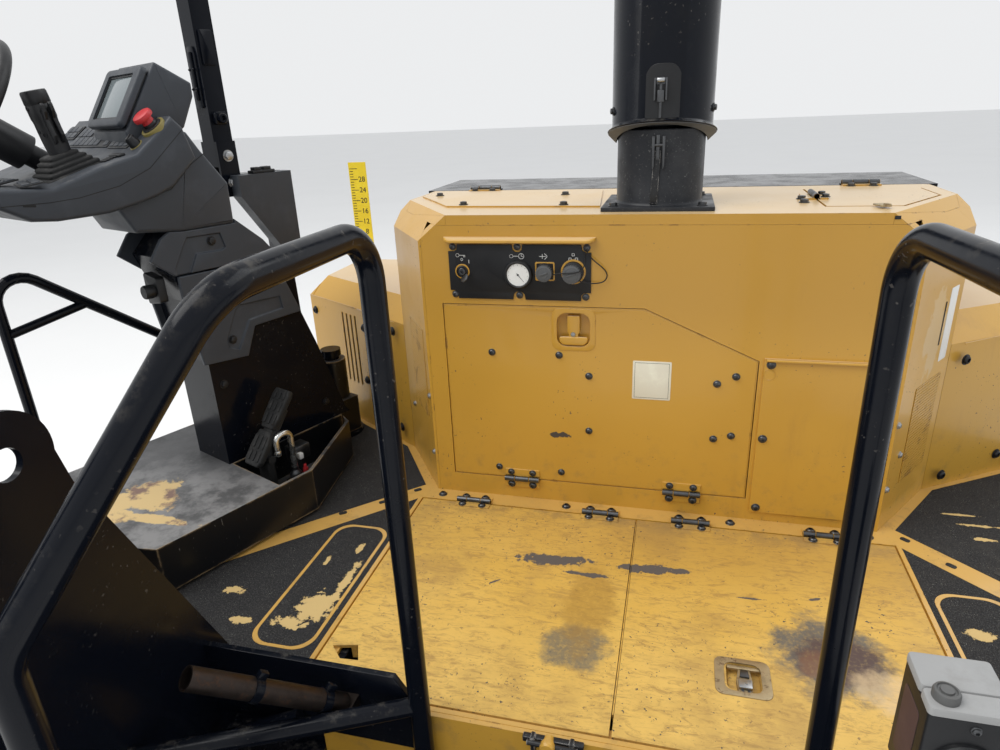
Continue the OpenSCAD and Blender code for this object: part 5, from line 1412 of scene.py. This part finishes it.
DESK_TOP = [(-385, 905), (-380, 943), (-340, 940), (-276, 936), (-168, 970), (-83, 991), (-3, 1053), (16, 1070),
            (40, 1044)]
DESK_CREASE = [(36, 1038), (-60, 958), (-137, 926), (-227, 910), (-288, 907), (-378, 909)]
DESK_LOW = [(60, 972), (-10, 910), (-51, 894), (-89, 884), (-173, 868), (-279, 866), (-330, 872), (-380, 902)]
NECK = [(-143, 872), (-114, 813), (0, 800), (145, 800), (147, 903), (87, 989), (58, 1036), (-100, 930)]
desk = Piece("console_shell")
desk.slab(mm(DESK_TOP + DESK_LOW), -0.33, 0.175, 0.009, PROFILE, 4, 0.009)
desk.slab(fillet(mm(NECK), 0.006, 3), -0.034, 0.152, 0.009, PROFILE, 4, 0.009)
desk.done(GREY, "platform", smooth=50, replaces=("console_body",))
seams_and_crease_shade = Piece("console_seams_and_crease_shade")
strokes(seams_and_crease_shade, [[(-0.009, 0.903), (0.052, 0.956)], [(0.052, 0.956), (0.093, 0.98)], [(-0.009, 0.903), (-0.05, 0.896)]],
        PROFILE @ move(0, 0, 0.1518), 0.002, 0.0006)
# The dark stroke along the crease is painted shade, standing in for the step under the proud rim.
strokes(seams_and_crease_shade, [mm(DESK_CREASE)], PROFILE @ move(0, 0, 0.1748), 0.0016, 0.0005)
strokes(seams_and_crease_shade, [[(-0.337, 0.9065), (-0.318, 0.904)]], PROFILE @ move(0, 0, 0.1747), 0.005, 0.0009)
seams_and_crease_shade.done(RUBBER, "platform", "black_plastic")

RIM = desk_plane(-0.083, 0.991, 0.016, 1.07)
SHELF = desk_plane(-0.168, 0.970, -0.083, 0.991)
FRONT_DESK = desk_plane(-0.34, 0.94, -0.168, 0.97)


def keypad(name, matrix, x0, x1, y0, y1, columns, rows, skip=()):
    """Block of keys with a printed mark on each, on a thin plate."""
    w, h = (x1 - x0) / columns, (y1 - y0) / rows
    plate = Piece(name + "_plate")
    plate.slab(round_rect(x1 - x0 + 0.007, y1 - y0 + 0.007, 0.004, 4, ((x0 + x1) / 2, (y0 + y1) / 2)), -0.001, 0.0022,
               0.001, matrix)
    plate.done(BLACK_PLASTIC, "platform")
    keys, marks = Piece(name + "_keys"), Piece(name + "_marks")
    for i in range(columns):
        for j in range(rows):
            if (i, j) in skip:
                continue
            cx, cy = x0 + (i + 0.5) * w, y0 + (j + 0.5) * h
            keys.slab(round_rect(w - 0.0035, h - 0.0035, 0.0025, 3, (cx, cy)), 0.001, 0.0042, 0.0012, matrix)
            long = 0.32 * min(w, h)
            strokes(marks, [[(cx - long / 2, cy - long / 3),
                             (cx + long / 2, cy - long / 3 + 0.2 * long * ((i + j) % 3))],
                            [(cx, cy - long / 3), (cx + 0.3 * long * (i % 2), cy + long / 2)]],
                    matrix @ move(0, 0, 0.0042), 0.0009, 0.0002)
    keys.done(GREY, "platform")
    marks.done(KEYS, "platform")


keypad("keypad_left", RIM, -0.225, -0.01, 0.026, 0.091, 8, 2, ((3, 1), (6, 0)))
keypad("keypad_right", RIM, 0.004, 0.098, 0.022, 0.078, 4, 2, ((1, 1),))
keypad("keypad_far", RIM, -0.322, -0.245, 0.056, 0.1, 3, 2)
keypad("keypad_desk", FRONT_DESK @ move(0.079, 0.028, 0) @ turn(-12, "Z"), 0, 0.086, 0.002, 0.04, 4, 2)
keypad("keypad_edge", FRONT_DESK, -0.06, 0.02, 0.012, 0.055, 4, 2)
trim = Piece("console_dials")
trim.rings([(0.015, -0.001), (0.015, 0.005), (0.013, 0.008), (0.009, 0.009), (0, 0.009)],
           SHELF @ move(-0.074, 0.067, 0), 32)
trim.slab(fillet([(-0.009, 0.028), (0.06, 0.028), (0.03, 0.085), (-0.02, 0.085)], 0.006), -0.001, 0.003, 0.0015,
          RIM @ move(-0.01, 0.065, 0))
for k in range(6):
    trim.box((-0.012, 0.004 + 0.0095 * k, -0.001), (0.02, 0.0095 + 0.0095 * k, 0.0035),
             SHELF @ move(0.115, 0.022, 0) @ turn(14, "Z"), 0.0015)
trim.box((0.085, 0.062, -0.001), (0.135, 0.082, 0.006), SHELF, 0.004)
trim.done(BLACK_PLASTIC, "platform")

DISPLAY = PLATFORM @ move(0.001, -0.537, 1.12) @ turn(-4.6, "Z") @ turn(-32.4, "X")
FACE = DISPLAY @ turn(90, "X")
screen = Piece("display_housing")
screen.slab(fillet(mm([(20, -83), (40, -110), (100, -100), (138, -3), (131, 76), (115, 103), (20, 99)]), 0.006, 3),
            -0.1065, 0.1065, 0.007, DISPLAY @ SIDE, 4, 0.007)
screen.ring(round_rect(0.213, 0.155, 0.014), round_rect(0.152, 0.117, 0.006), -0.014, 0, 0.005, FACE)
screen.done(GREY, "platform", smooth=50, replaces=("display",))
groove = Piece("display_groove")
groove.slab(round_rect(0.196, 0.142, 0.01), -0.024, -0.0095, matrix=FACE)
groove.ring(round_rect(0.1525, 0.1175, 0.006), round_rect(0.142, 0.107, 0.003), -0.0098, -0.0035, 0.002, FACE)
groove.done(BLACK_PLASTIC, "platform")
glass = Piece("display_glass")
glass.slab(round_rect(0.1425, 0.1075, 0.003), -0.0098, -0.0062, 0.0005, FACE)
glass.done(SCREEN, "platform")

STOP = PLATFORM @ move(0.143, -0.522, 1.043) @ turn(38, "X")
KNOB = PLATFORM @ move(0.132, -0.567, 1.007) @ turn(38, "X")
plate = Piece("stop_plate")
plate.ring(disc(0.031, 40), disc(0.0245, 40), -0.005, 0.0085, 0.002, STOP)
plate.ring(disc(0.0165, 32), disc(0.0138, 32), -0.008, 0.004, 0.001, KNOB)
plate.done(OLIVE, "platform")
collar = Piece("stop_collar")
collar.rings([(0.0245, -0.004), (0.0245, 0.01), (0.0215, 0.0125), (0.0165, 0.013), (0.0155, 0.019), (0, 0.019)], STOP,
             36)
collar.done(BLACK_PLASTIC, "platform")
button = Piece("stop_button")
button.rings([(0.0145, 0.012), (0.0145, 0.028), (0.0165, 0.03), (0.0235, 0.0315), (0.0243, 0.034), (0.0243, 0.038),
              (0.0225, 0.042), (0.018, 0.044), (0.01, 0.0445), (0, 0.0445)], STOP, 40)
button.done(RED, "platform", replaces=("emergency_stop",))
turner = Piece("selector_knob")
turner.rings([(0.0138, -0.006), (0.0138, 0.012), (0.0125, 0.0145), (0.0118, 0.024), (0.0105, 0.026), (0, 0.026)], KNOB,
             32)
turner.box((-0.002, -0.011, 0.024), (0.002, 0.011, 0.0285), KNOB @ turn(25, "Z"), 0.001)
turner.done(BLACK_PLASTIC, "platform", replaces=("rotary_knob",))

STICK = PLATFORM @ move(0.06, PEDESTAL_Y - 0.191, 0.955)
BOOT = STICK @ turn(16, "X")
boot = Piece("joystick_bellows")
loops = [[(x, y, -0.014) for x, y in round_rect(0.118, 0.136, 0.008)]]
for k in range(5):
    w, d = 0.118 - 0.013 * k, 0.136 - 0.017 * k
    for shrink, z in ((0.001, 0.0), (0.0, 0.0025), (0.0, 0.0055), (0.003, 0.0075), (0.014, 0.0095)):
        loops.append([(x, y, 0.0098 * k + z) for x, y in round_rect(w - shrink, d - shrink, 0.008)])
boot.loft(loops, BOOT)
boot.done(RUBBER, "platform", smooth=60, replaces=("joystick_boot",))
ring = Piece("joystick_ring")
ring.ring(round_rect(0.13, 0.148, 0.012), round_rect(0.112, 0.13, 0.008), -0.012, 0.003, 0.0015, BOOT)
ring.done(GREY, "platform")
GRIP = STICK @ turn(10, "X")
grip = Piece("joystick_grip")
loops = []
for z, rx, ry, dx in ((0.04, 0.0235, 0.022, 0.003), (0.055, 0.025, 0.0235, 0.002), (0.075, 0.0262, 0.0245, 0.001),
                      (0.1, 0.0262, 0.0245, 0), (0.114, 0.0255, 0.0245, 0), (0.12, 0.026, 0.0252, 0),
                      (0.124, 0.0268, 0.0262, 0), (0.15, 0.027, 0.0266, 0), (0.151, 0.0262, 0.0258, 0),
                      (0.153, 0.0262, 0.0258, 0), (0.154, 0.027, 0.0266, 0), (0.176, 0.0265, 0.0262, 0),
                      (0.18, 0.0245, 0.0242, 0), (0.1805, 0.019, 0.019, 0), (0.179, 0.018, 0.018, 0)):
    loops.append([(dx + rx * math.cos(2 * math.pi * k / 40), ry * math.sin(2 * math.pi * k / 40), z)
                  for k in range(40)])
grip.loft(loops, GRIP)
FIN = [(0.018, 0.066), (0.032, 0.07), (0.04, 0.086), (0.037, 0.104), (0.034, 0.12), (0.043, 0.136), (0.044, 0.15),
       (0.038, 0.156), (0.03, 0.146), (0.022, 0.14)]
for y in (-0.012, 0.004):
    grip.slab(fillet(FIN, 0.003, 3), 0, 0.007, 0.002, GRIP @ move(0, y + 0.007, 0) @ turn(90, "X"), 2, 0.002)
for a, z, r in ((6, 0.146, 0.0266), (8, 0.098, 0.0246), (-62, 0.072, 0.0258), (40, 0.09, 0.0256)):
    hole = GRIP @ turn(a, "Z") @ move(0, -r, z) @ turn(90, "X")
    grip.rings([(0.0046, -0.001), (0.0046, 0.001), (0.0034, 0.001), (0.0032, -0.0006), (0, -0.0006)], hole, 20)
grip.done(BLACK_PLASTIC, "platform", smooth=40, replaces=("joystick",))

# Pedestal covers

COVER = PLATFORM @ SIDE
UPPER_EMBOSS = [(-0.502, 0.783), (-0.411, 0.781), (-0.402, 0.742), (-0.414, 0.737), (-0.485, 0.739), (-0.516, 0.683),
                (-0.542, 0.688), (-0.548, 0.710), (-0.514, 0.767)]
LOWER_EMBOSS = [(-0.392, 0.581), (-0.263, 0.576), (-0.259, 0.540), (-0.371, 0.533), (-0.418, 0.458), (-0.446, 0.472),
                (-0.447, 0.496), (-0.407, 0.571)]
for node, emboss in (("pedestal_cover_upper", UPPER_EMBOSS), ("pedestal_cover_lower", LOWER_EMBOSS)):
    cutter = Piece("cutter")
    for low, high in ((0.1445, 0.16), (-0.045, -0.0265)):
        cutter.slab(emboss, low, high, 0, COVER)
    carve(node, cutter, GREY, "platform", bevel=0.0045)
screws("pedestal_bolts", "platform", [on_platform(x, y, z, X, Z) for x, y, z in (
    (0.1445, -0.437, 0.764), (0.1445, -0.43, 0.491), (0.138, -0.477, 0.373), (0.138, -0.15, 0.2))], 0.009,
    Piece.hex_bolt, BLACK_PLASTIC)
plug = Piece("pedestal_plug")
PLUG = on_platform(0.07, -0.571, 0.66, -Y, Z)
plug.slab(fillet([(-0.03, -0.045), (0.035, -0.035), (0.035, 0.03), (-0.03, 0.04)], 0.008), -0.01, 0.012, 0.004, PLUG)
plug.rings([(0.016, 0.01), (0.018, 0.02), (0.018, 0.034), (0.016, 0.038), (0, 0.038)], PLUG @ move(0.012, -0.004, 0),
           28)
plug.done(BLACK_PLASTIC, "platform")

# Pedal, brake lever

PEDAL = on_platform(0.216, -0.4925, 0.1465, Vector((0, -0.79, 0.613)), Vector((0, 0.613, 0.79)))
PEDAL = PEDAL @ Matrix.Diagonal((1.16, 1.14, 1.1, 1))
pedal = Piece("pedal_pads")
HEEL = [(-0.024, 0.002), (0.024, 0.002), (0.031, 0.016), (0.031, 0.06), (0.024, 0.086), (0.022, 0.094), (-0.022, 0.094),
        (-0.024, 0.086), (-0.031, 0.06), (-0.031, 0.016)]
TOE = [(-0.022, 0.1), (0.022, 0.1), (0.03, 0.128), (0.031, 0.19), (0.026, 0.205), (-0.026, 0.205), (-0.031, 0.19),
       (-0.03, 0.128)]
for outline in (HEEL, TOE):
    pedal.slab(fillet(outline, 0.006, 3), -0.016, 0.0, 0.004, PEDAL, 3, 0.003)
for x in (-0.017, 0.0, 0.017):
    for y0, y1 in ((0.014, 0.04), (0.046, 0.08), (0.112, 0.14), (0.146, 0.172), (0.178, 0.198)):
        pedal.slab(round_rect(0.0125, y1 - y0, 0.003, 3, (x, (y0 + y1) / 2)), -0.002, 0.003, 0.0015, PEDAL)
pedal.box((-0.018, 0.085, -0.02), (0.018, 0.115, -0.008), PEDAL, 0.003)
pedal.box((-0.02, 0.02, -0.03), (0.02, 0.16, -0.013), PEDAL, 0.004)
pedal.box((0.19, -0.452, 0.018), (0.24, -0.428, 0.196), PLATFORM, 0.003)
pedal.rod(0.012, 0, 0.1, PLATFORM @ move(0.15, -0.44, 0.15) @ turn(90, "Y"), 28)
pedal.done(RUBBER, "platform", replaces=("foot_pedal",))
lever = Piece("brake_lever_rod")
LEVER = [(0.25, -0.372, 0.06), (0.25, -0.372, 0.215), (0.25, -0.42, 0.215), (0.25, -0.42, 0.17)]
lever.tube(rounded([PLATFORM @ Vector(p) for p in LEVER], 0.02, 10), 0.009, 28)
lever.rings([(0.0095, -0.002), (0.0105, 0), (0.0105, 0.012), (0.0095, 0.014), (0, 0.014)],
            PLATFORM @ move(0.25, -0.42, 0.17) @ turn(180, "X"), 24)
lever.done(CHROME, "platform", replaces=("brake_lever",))
valve = Piece("brake_valve")
valve.box((0.228, -0.395, 0.018), (0.272, -0.35, 0.062), PLATFORM, 0.004)
valve.rings([(0, 0.06), (0.018, 0.06), (0.018, 0.078), (0.014, 0.084), (0.0095, 0.09), (0.0095, 0.1), (0, 0.1)],
            PLATFORM @ move(0.25, -0.372, 0), 28)
for x, y, z in ((0.29, -0.36, 0.018), (0.3, -0.33, 0.018), (0.245, -0.44, 0.018)):
    valve.hex_bolt(PLATFORM @ move(x, y, z), 0.009)
valve.box((0.19, -0.36, 0.1), (0.235, -0.3, 0.145), PLATFORM, 0.004)
valve.box((0.2, -0.345, 0.018), (0.225, -0.315, 0.11), PLATFORM, 0.003)
valve.done(BOLT, "platform", "black_plastic")
plugs = Piece("switch_plugs")
plugs.box((0.236, -0.352, 0.112), (0.252, -0.338, 0.13), PLATFORM, 0.002)
plugs.done(DIAL, "platform")
dot = Piece("switch_cap")
dot.rings([(0.005, 0), (0.005, 0.008), (0.004, 0.01), (0, 0.01)], PLATFORM @ move(0.262, -0.346, 0.088), 18)
dot.box((0.256, -0.352, 0.062), (0.268, -0.34, 0.088), PLATFORM, 0.001)
dot.done(RED, "platform")

# Mast

MAST_BACK = on_platform(-0.096, -0.252, 0, -Y, Z)
MAST_SIDE = on_platform(-0.066, -0.222, 0, X, Z)
plates = Piece("mast_plates")
plates.slab(fillet([(-0.016, 1.09), (0.016, 1.09), (0.018, 1.23), (0.012, 1.25), (-0.012, 1.25), (-0.018, 1.23)],
                   0.006), -0.002, 0.005, 0.001, MAST_BACK)
plates.box((-0.006, 1.11, 0.004), (0.008, 1.235, 0.012), MAST_BACK, 0.002)
plates.slab(fillet([(-0.02, 1.2), (0.02, 1.2), (0.02, 1.29), (-0.02, 1.29)], 0.006), -0.002, 0.005, 0.001, MAST_SIDE)
plates.slab(fillet([(-0.02, 1.045), (0.02, 1.045), (0.02, 1.08), (-0.02, 1.08)], 0.008), -0.002, 0.012, 0.002,
            MAST_SIDE)
plates.rings([(0.014, 0.01), (0.014, 0.02), (0.012, 0.022), (0.007, 0.022), (0.0065, 0.014), (0, 0.014)],
             MAST_SIDE @ move(0, 1.062, 0), 28)
for x in (-0.008, 0.01):
    for z in (1.14, 1.19):
        plates.screw(MAST_BACK @ move(x + 0.002, z, 0.0115), 0.003)
plates.done(BLACK, "mast")
pivot_bolt = Piece("mast_pin_head")
pivot_bolt.hex_bolt(on_platform(-0.056, -0.222, 0.96, X, Z), 0.012)
pivot_bolt.hex_bolt(on_platform(-0.0555, -0.222, 0.885, X, Z), 0.011)
pivot_bolt.done(ZINC, "platform")
TOP_PLATE = on_platform(-0.034, -0.137, 0.905)
holder = Piece("bracket_block")
holder.box((-0.014, -0.036, 0), (0.016, 0.04, 0.009), TOP_PLATE, 0.002)
holder.box((-0.01, -0.028, 0.008), (0.012, -0.006, 0.018), TOP_PLATE, 0.002)
holder.box((-0.01, 0.004, 0.008), (0.012, 0.03, 0.018), TOP_PLATE, 0.002)
holder.done(BLACK_PLASTIC, "platform")

# Seat

SEAT = on_deck(-1.3, -1.1)
CUSHION_Z = 0.484
VOXEL = 0.008
SWELL_FRAMES, SWELL_CAP = 20, 0.022
CUSHION_GAP = 0.014
SEAM_W, SEAM_DEPTH, SIDE_SEAM = 0.009, 0.007, 0.085
SEAT_HALF, ARM_GAP = 0.25, 0.006


def swell(obj):
    """Blow the closed mesh up as cloth, no point moving further than the cap."""
    mesh = obj.data
    start = [v.co.copy() for v in mesh.vertices]
    cloth = obj.modifiers.new("cloth", "CLOTH")
    cloth.settings.use_pressure = True
    cloth.settings.uniform_pressure_force = 4
    cloth.settings.effector_weights.gravity = 0
    cloth.settings.tension_stiffness = 25
    cloth.settings.compression_stiffness = 25
    cloth.point_cache.frame_start, cloth.point_cache.frame_end = 1, SWELL_FRAMES
    for frame_number in range(1, SWELL_FRAMES + 1):
        bpy.context.scene.frame_set(frame_number)
    shape = obj.evaluated_get(bpy.context.evaluated_depsgraph_get()).to_mesh()
    end = [v.co.copy() for v in shape.vertices]
    obj.modifiers.remove(cloth)
    bpy.context.scene.frame_set(1)
    for vertex, a, b in zip(mesh.vertices, start, end):
        shift = b - a
        vertex.co = a + (shift.normalized() * SWELL_CAP if shift.length > SWELL_CAP else shift)


def cushion(name, node, size, matrix, channels, crown=0.012):
    """Crowned cushion with sewn channels and piping; size is the room it fills, from its low corner's middle."""
    w, d, t = size
    piece = Piece(name)
    piece.slab(round_rect(w - 2 * CUSHION_GAP, d - 2 * CUSHION_GAP, 0.055, 8), 0.004, t - CUSHION_GAP, 0.03, None, 4,
               0.02)
    obj = piece.done(VINYL, "seat", replaces=(node,))
    remesh = obj.modifiers.new("remesh", "REMESH")
    remesh.mode = "VOXEL"
    remesh.voxel_size = VOXEL
    mesh = bpy.data.meshes.new_from_object(obj.evaluated_get(bpy.context.evaluated_depsgraph_get()))
    obj.modifiers.remove(remesh)
    obj.data = mesh
    swell(obj)
    for vertex in mesh.vertices:
        x, y, z = vertex.co
        bulge = max(0.0, 1 - (2 * x / w) ** 2) * max(0.0, 1 - (2 * y / d) ** 2)
        top = min(1.0, max(0.0, z / t))
        dent = sum(math.exp(-((y - at) / SEAM_W) ** 2) for at in channels) if abs(x) < w / 2 - 0.075 else 0.0
        if abs(y) < d / 2 - 0.05:
            dent += math.exp(-((abs(x) - (w / 2 - SIDE_SEAM)) / 0.008) ** 2)
        z += top * (crown * bulge - SEAM_DEPTH * min(dent, 1.2))
        vertex.co = (min(max(x, -w / 2), w / 2), min(max(y, -d / 2), d / 2), max(z, 0.001))
    mesh.shade_smooth()
    if not mesh.materials:
        mesh.materials.append(VINYL)
    tree = BVHTree.FromPolygons([v.co for v in mesh.vertices], [p.vertices for p in mesh.polygons])
    pipes = Piece(name + "_piping")
    for z in (t - 0.012, 0.014):
        path = [tree.find_nearest(Vector((x, y, z)))[0] for x, y in round_rect(w - 0.024, d - 0.024, 0.055, 14)]
        path = spline(path + path[:1], 3)
        pipes.tube([matrix @ p for p in path], 0.0028, 8)
    pipes.done(RUBBER, "seat", "seat_vinyl")
    mesh.transform(matrix)
    grow = obj.modifiers.new("smooth", "SUBSURF")
    grow.levels = grow.render_levels = 1
    return obj


cushion("seat_cushion_pad", "seat_cushion", (0.5, 0.5, 0.105), SEAT @ move(0, 0, CUSHION_Z + 0.002), (-0.13, 0.0, 0.13))
BACK = SEAT @ move(0, -0.27, CUSHION_Z + 0.02) @ turn(10, "X")
cushion("seat_back_pad", "seat_back", (0.5, 0.56, 0.086),
        BACK @ move(0, -0.088, 0.28) @ turn(-90, "X") @ turn(180, "Z"), (-0.15, 0.0, 0.15), 0.004)
SHELL = BACK @ move(0, -0.084, 0.28) @ turn(90, "X")
shell = Piece("seat_back_shell")
shell.slab(round_rect(0.44, 0.5, 0.05, 8), -0.001, 0.009, 0.004, SHELL)
shell.box((-0.1, -0.34, CUSHION_Z - 0.03), (0.1, -0.19, CUSHION_Z - 0.001), SEAT, 0.004)
shell.box((-0.1, -0.34, CUSHION_Z - 0.03), (0.1, -0.325, CUSHION_Z + 0.15), SEAT, 0.005)
for s in (-1, 1):
    shell.slab(round_rect(0.022, 0.4, 0.01, 5, (s * 0.12, 0)), 0.004, 0.0125, 0.003, SHELL)
shell.done(BLACK_PLASTIC, "seat")

suspension = Piece("seat_suspension")
loops = []
for k in range(6):
    for half, z in ((0.165, 0.0), (0.188, 0.006), (0.188, 0.009), (0.165, 0.016)):
        loops.append([(x, y, 0.352 + 0.0165 * k + z) for x, y in round_rect(2 * half, 2 * half, 0.04, 6)])
suspension.loft(loops, SEAT)
suspension.done(RUBBER, "seat", smooth=60, replaces=("seat_base",))
rails = Piece("seat_rails")
rails.rod(0.09, 0.3305, 0.34, SEAT, 48)
rails.slab(round_rect(0.37, 0.37, 0.02, 5), 0.34, 0.353, 0.003, SEAT)
rails.slab(round_rect(0.376, 0.376, 0.02, 5), 0.452, 0.464, 0.003, SEAT)
for s in (-1, 1):
    rails.box((s * 0.15 - 0.02, -0.18, 0.463), (s * 0.15 + 0.02, 0.188, 0.484), SEAT, 0.003)
rails.tube([SEAT @ Vector(p) for p in ((-0.13, 0.16, 0.472), (-0.13, 0.19, 0.47), (0.13, 0.19, 0.47),
                                       (0.13, 0.16, 0.472))], 0.006, 14)
rails.rings([(0.02, 0), (0.022, 0.004), (0.022, 0.016), (0.018, 0.02), (0, 0.02)],
            SEAT @ move(0, 0.184, 0.4) @ turn(-90, "X"), 28)
rails.done(BLACK, "seat", "black_plastic")

ARM_Z, ARM_Y = CUSHION_Z + 0.215, -0.43
arms = Piece("armrest_pads")
for s in (-1, 1):
    x = s * (SEAT_HALF + ARM_GAP + 0.03)
    arms.slab(round_rect(0.06, 0.33, 0.026, 8, (x, ARM_Y + 0.245)), ARM_Z, ARM_Z + 0.045, 0.014, SEAT, 5, 0.008)
    arms.slab(round_rect(0.03, 0.1, 0.012, 6, (x, ARM_Y + 0.05)), ARM_Z - 0.02, ARM_Z + 0.04, 0.006, SEAT, 3, 0.006)
    x0, x1 = sorted((s * SEAT_HALF, s * 0.274))
    arms.box((x0, ARM_Y, ARM_Z - 0.02), (x1, ARM_Y + 0.05, ARM_Z + 0.04), SEAT, 0.005)
    arms.rings([(0.02, 0), (0.02, 0.006), (0.017, 0.009), (0, 0.009)],
               SEAT @ move(s * (SEAT_HALF + ARM_GAP + 0.045), ARM_Y + 0.03, ARM_Z + 0.01) @ turn(s * 90, "Y"), 24)
arms.done(BLACK_PLASTIC, "seat", replaces=("armrests",))

# Engine, seen with the covers and doors open

block = Piece("engine")
block.box((-0.33, 0.36, 0.26), (0.25, 0.72, 0.66), bevel=0.02)
block.box((-0.3, 0.4, 0.162), (0.22, 0.68, 0.27), bevel=0.03)
block.box((-0.32, 0.38, 0.66), (0.24, 0.7, 0.78), bevel=0.008)
for k in range(4):
    x = -0.27 + 0.14 * k
    block.box((x, 0.42, 0.78), (x + 0.11, 0.6, 0.87), bevel=0.018)
    block.hex_bolt(Matrix.Translation((x + 0.055, 0.51, 0.87)), 0.012)
    block.tube([(x + 0.055, 0.62, 0.72), (x + 0.055, 0.72, 0.74), (x + 0.055, 0.79, 0.74)], 0.022, 20)
    block.tube([(x + 0.055, 0.4, 0.73), (x + 0.055, 0.31, 0.74), (x + 0.055, 0.27, 0.78)], 0.02, 20)
block.tube([(-0.3, 0.8, 0.74), (-0.29, 0.8, 0.74), (0.22, 0.8, 0.74), (0.23, 0.8, 0.74)], 0.04, 28)
block.tube([(-0.3, 0.26, 0.79), (-0.29, 0.26, 0.79), (0.12, 0.26, 0.79), (0.18, 0.26, 0.82), (0.2, 0.26, 0.9),
            (0.2, 0.26, 0.975)], 0.034, 28)
for x, y, r, z0, z1 in ((-0.22, 0.3, 0.05, 0.33, 0.5), (-0.08, 0.3, 0.05, 0.33, 0.5), (0.1, 0.31, 0.042, 0.3, 0.52)):
    block.rings([(0, z0), (r - 0.006, z0), (r, z0 + 0.008), (r, z1 - 0.01), (r - 0.008, z1), (0.02, z1 + 0.004),
                 (0.02, z1 + 0.04), (0, z1 + 0.04)], Matrix.Translation((x, y, 0)), 32)
EDGE = Matrix.Translation((0.25, 0.54, 0.42)) @ turn(90, "Y")
for dy, dz, r in ((0, 0, 0.09), (0.12, -0.14, 0.055), (-0.12, -0.16, 0.05), (0, -0.25, 0.07)):
    block.rings([(0, 0), (r, 0), (r, 0.012), (r - 0.008, 0.018), (r - 0.008, 0.03), (r, 0.036), (r, 0.048),
                 (0.03, 0.05), (0.03, 0.07), (0, 0.07)], EDGE @ move(dz, dy, 0), 40)
block.slab(fillet([(-0.095, -0.2), (-0.095, 0.2), (0.105, 0.13), (0.105, -0.13)], 0.06, 8), 0.02, 0.034, 0.002,
           EDGE @ turn(180, "Z") @ move(0.06, 0, 0))
for k in range(7):
    block.box((-0.3 + 0.08 * k, 0.352, 0.3), (-0.29 + 0.08 * k, 0.728, 0.62), bevel=0.003)
block.box((-0.335, 0.2, 0.5), (-0.2, 0.34, 0.62), bevel=0.012)
block.done(ENGINE, "root", replaces=("engine_block",))

# Stage

FLOOR_HALF = 60.0
LIGHTS_AIM = Vector((0, 0, 0.6))
SKY_SEEN, SKY_LIGHT = (0.84, 0.85, 0.86, 1), (0.78, 0.8, 0.83, 1)


def stage():
    floor = bpy.data.meshes.new("floor")
    floor.from_pydata([(a * FLOOR_HALF, b * FLOOR_HALF, 0) for a, b in ((-1, -1), (1, -1), (1, 1), (-1, 1))], [],
                      [(0, 1, 2, 3)])
    obj = put("floor", floor)
    p = Paint("floor_pale", (0.83, 0.825, 0.81), 0.8)
    p.tint(p.span(p.noise(0.8, 3), 0.35, 0.7, 0.0, 0.3), (0.79, 0.785, 0.77))
    floor.materials.append(p.finish())
    obj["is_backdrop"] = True


def world():
    """Plain sky; the camera, mirrors and glass see it a little brighter than it lights."""
    w = bpy.data.worlds.new("studio")
    bpy.context.scene.world = w
    w.use_nodes = True
    tree = w.node_tree
    background = tree.nodes["Background"]
    seen = tree.nodes.new("ShaderNodeLightPath")
    total = seen.outputs["Is Camera Ray"]
    for output in ("Is Glossy Ray", "Is Transmission Ray"):
        node = tree.nodes.new("ShaderNodeMath")
        node.operation = "MAXIMUM"
        tree.links.new(total, node.inputs[0])
        tree.links.new(seen.outputs[output], node.inputs[1])
        total = node.outputs[0]
    mix = tree.nodes.new("ShaderNodeMix")
    mix.data_type = "RGBA"
    tree.links.new(total, mix.inputs[0])
    mix.inputs[6].default_value = SKY_LIGHT
    mix.inputs[7].default_value = SKY_SEEN
    tree.links.new(mix.outputs[2], background.inputs["Color"])
    background.inputs["Strength"].default_value = 1.0


def softbox(name, place, size, power, color):
    light = bpy.data.lights.new(name, "AREA")
    light.shape = "RECTANGLE"
    light.size, light.size_y = size
    light.energy = power
    light.color = color
    obj = put(name, light)
    obj.location = place
    obj.rotation_euler = (LIGHTS_AIM - Vector(place)).to_track_quat("-Z", "Y").to_euler()


stage()
world()
softbox("key", (-3.5, -2.5, 6.5), (5, 5), 320, (1, 0.99, 0.97))
softbox("fill", (4, 3, 6), (6, 4), 120, (0.95, 0.98, 1))
bpy.context.scene.view_settings.view_transform = "Standard"

low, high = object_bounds()
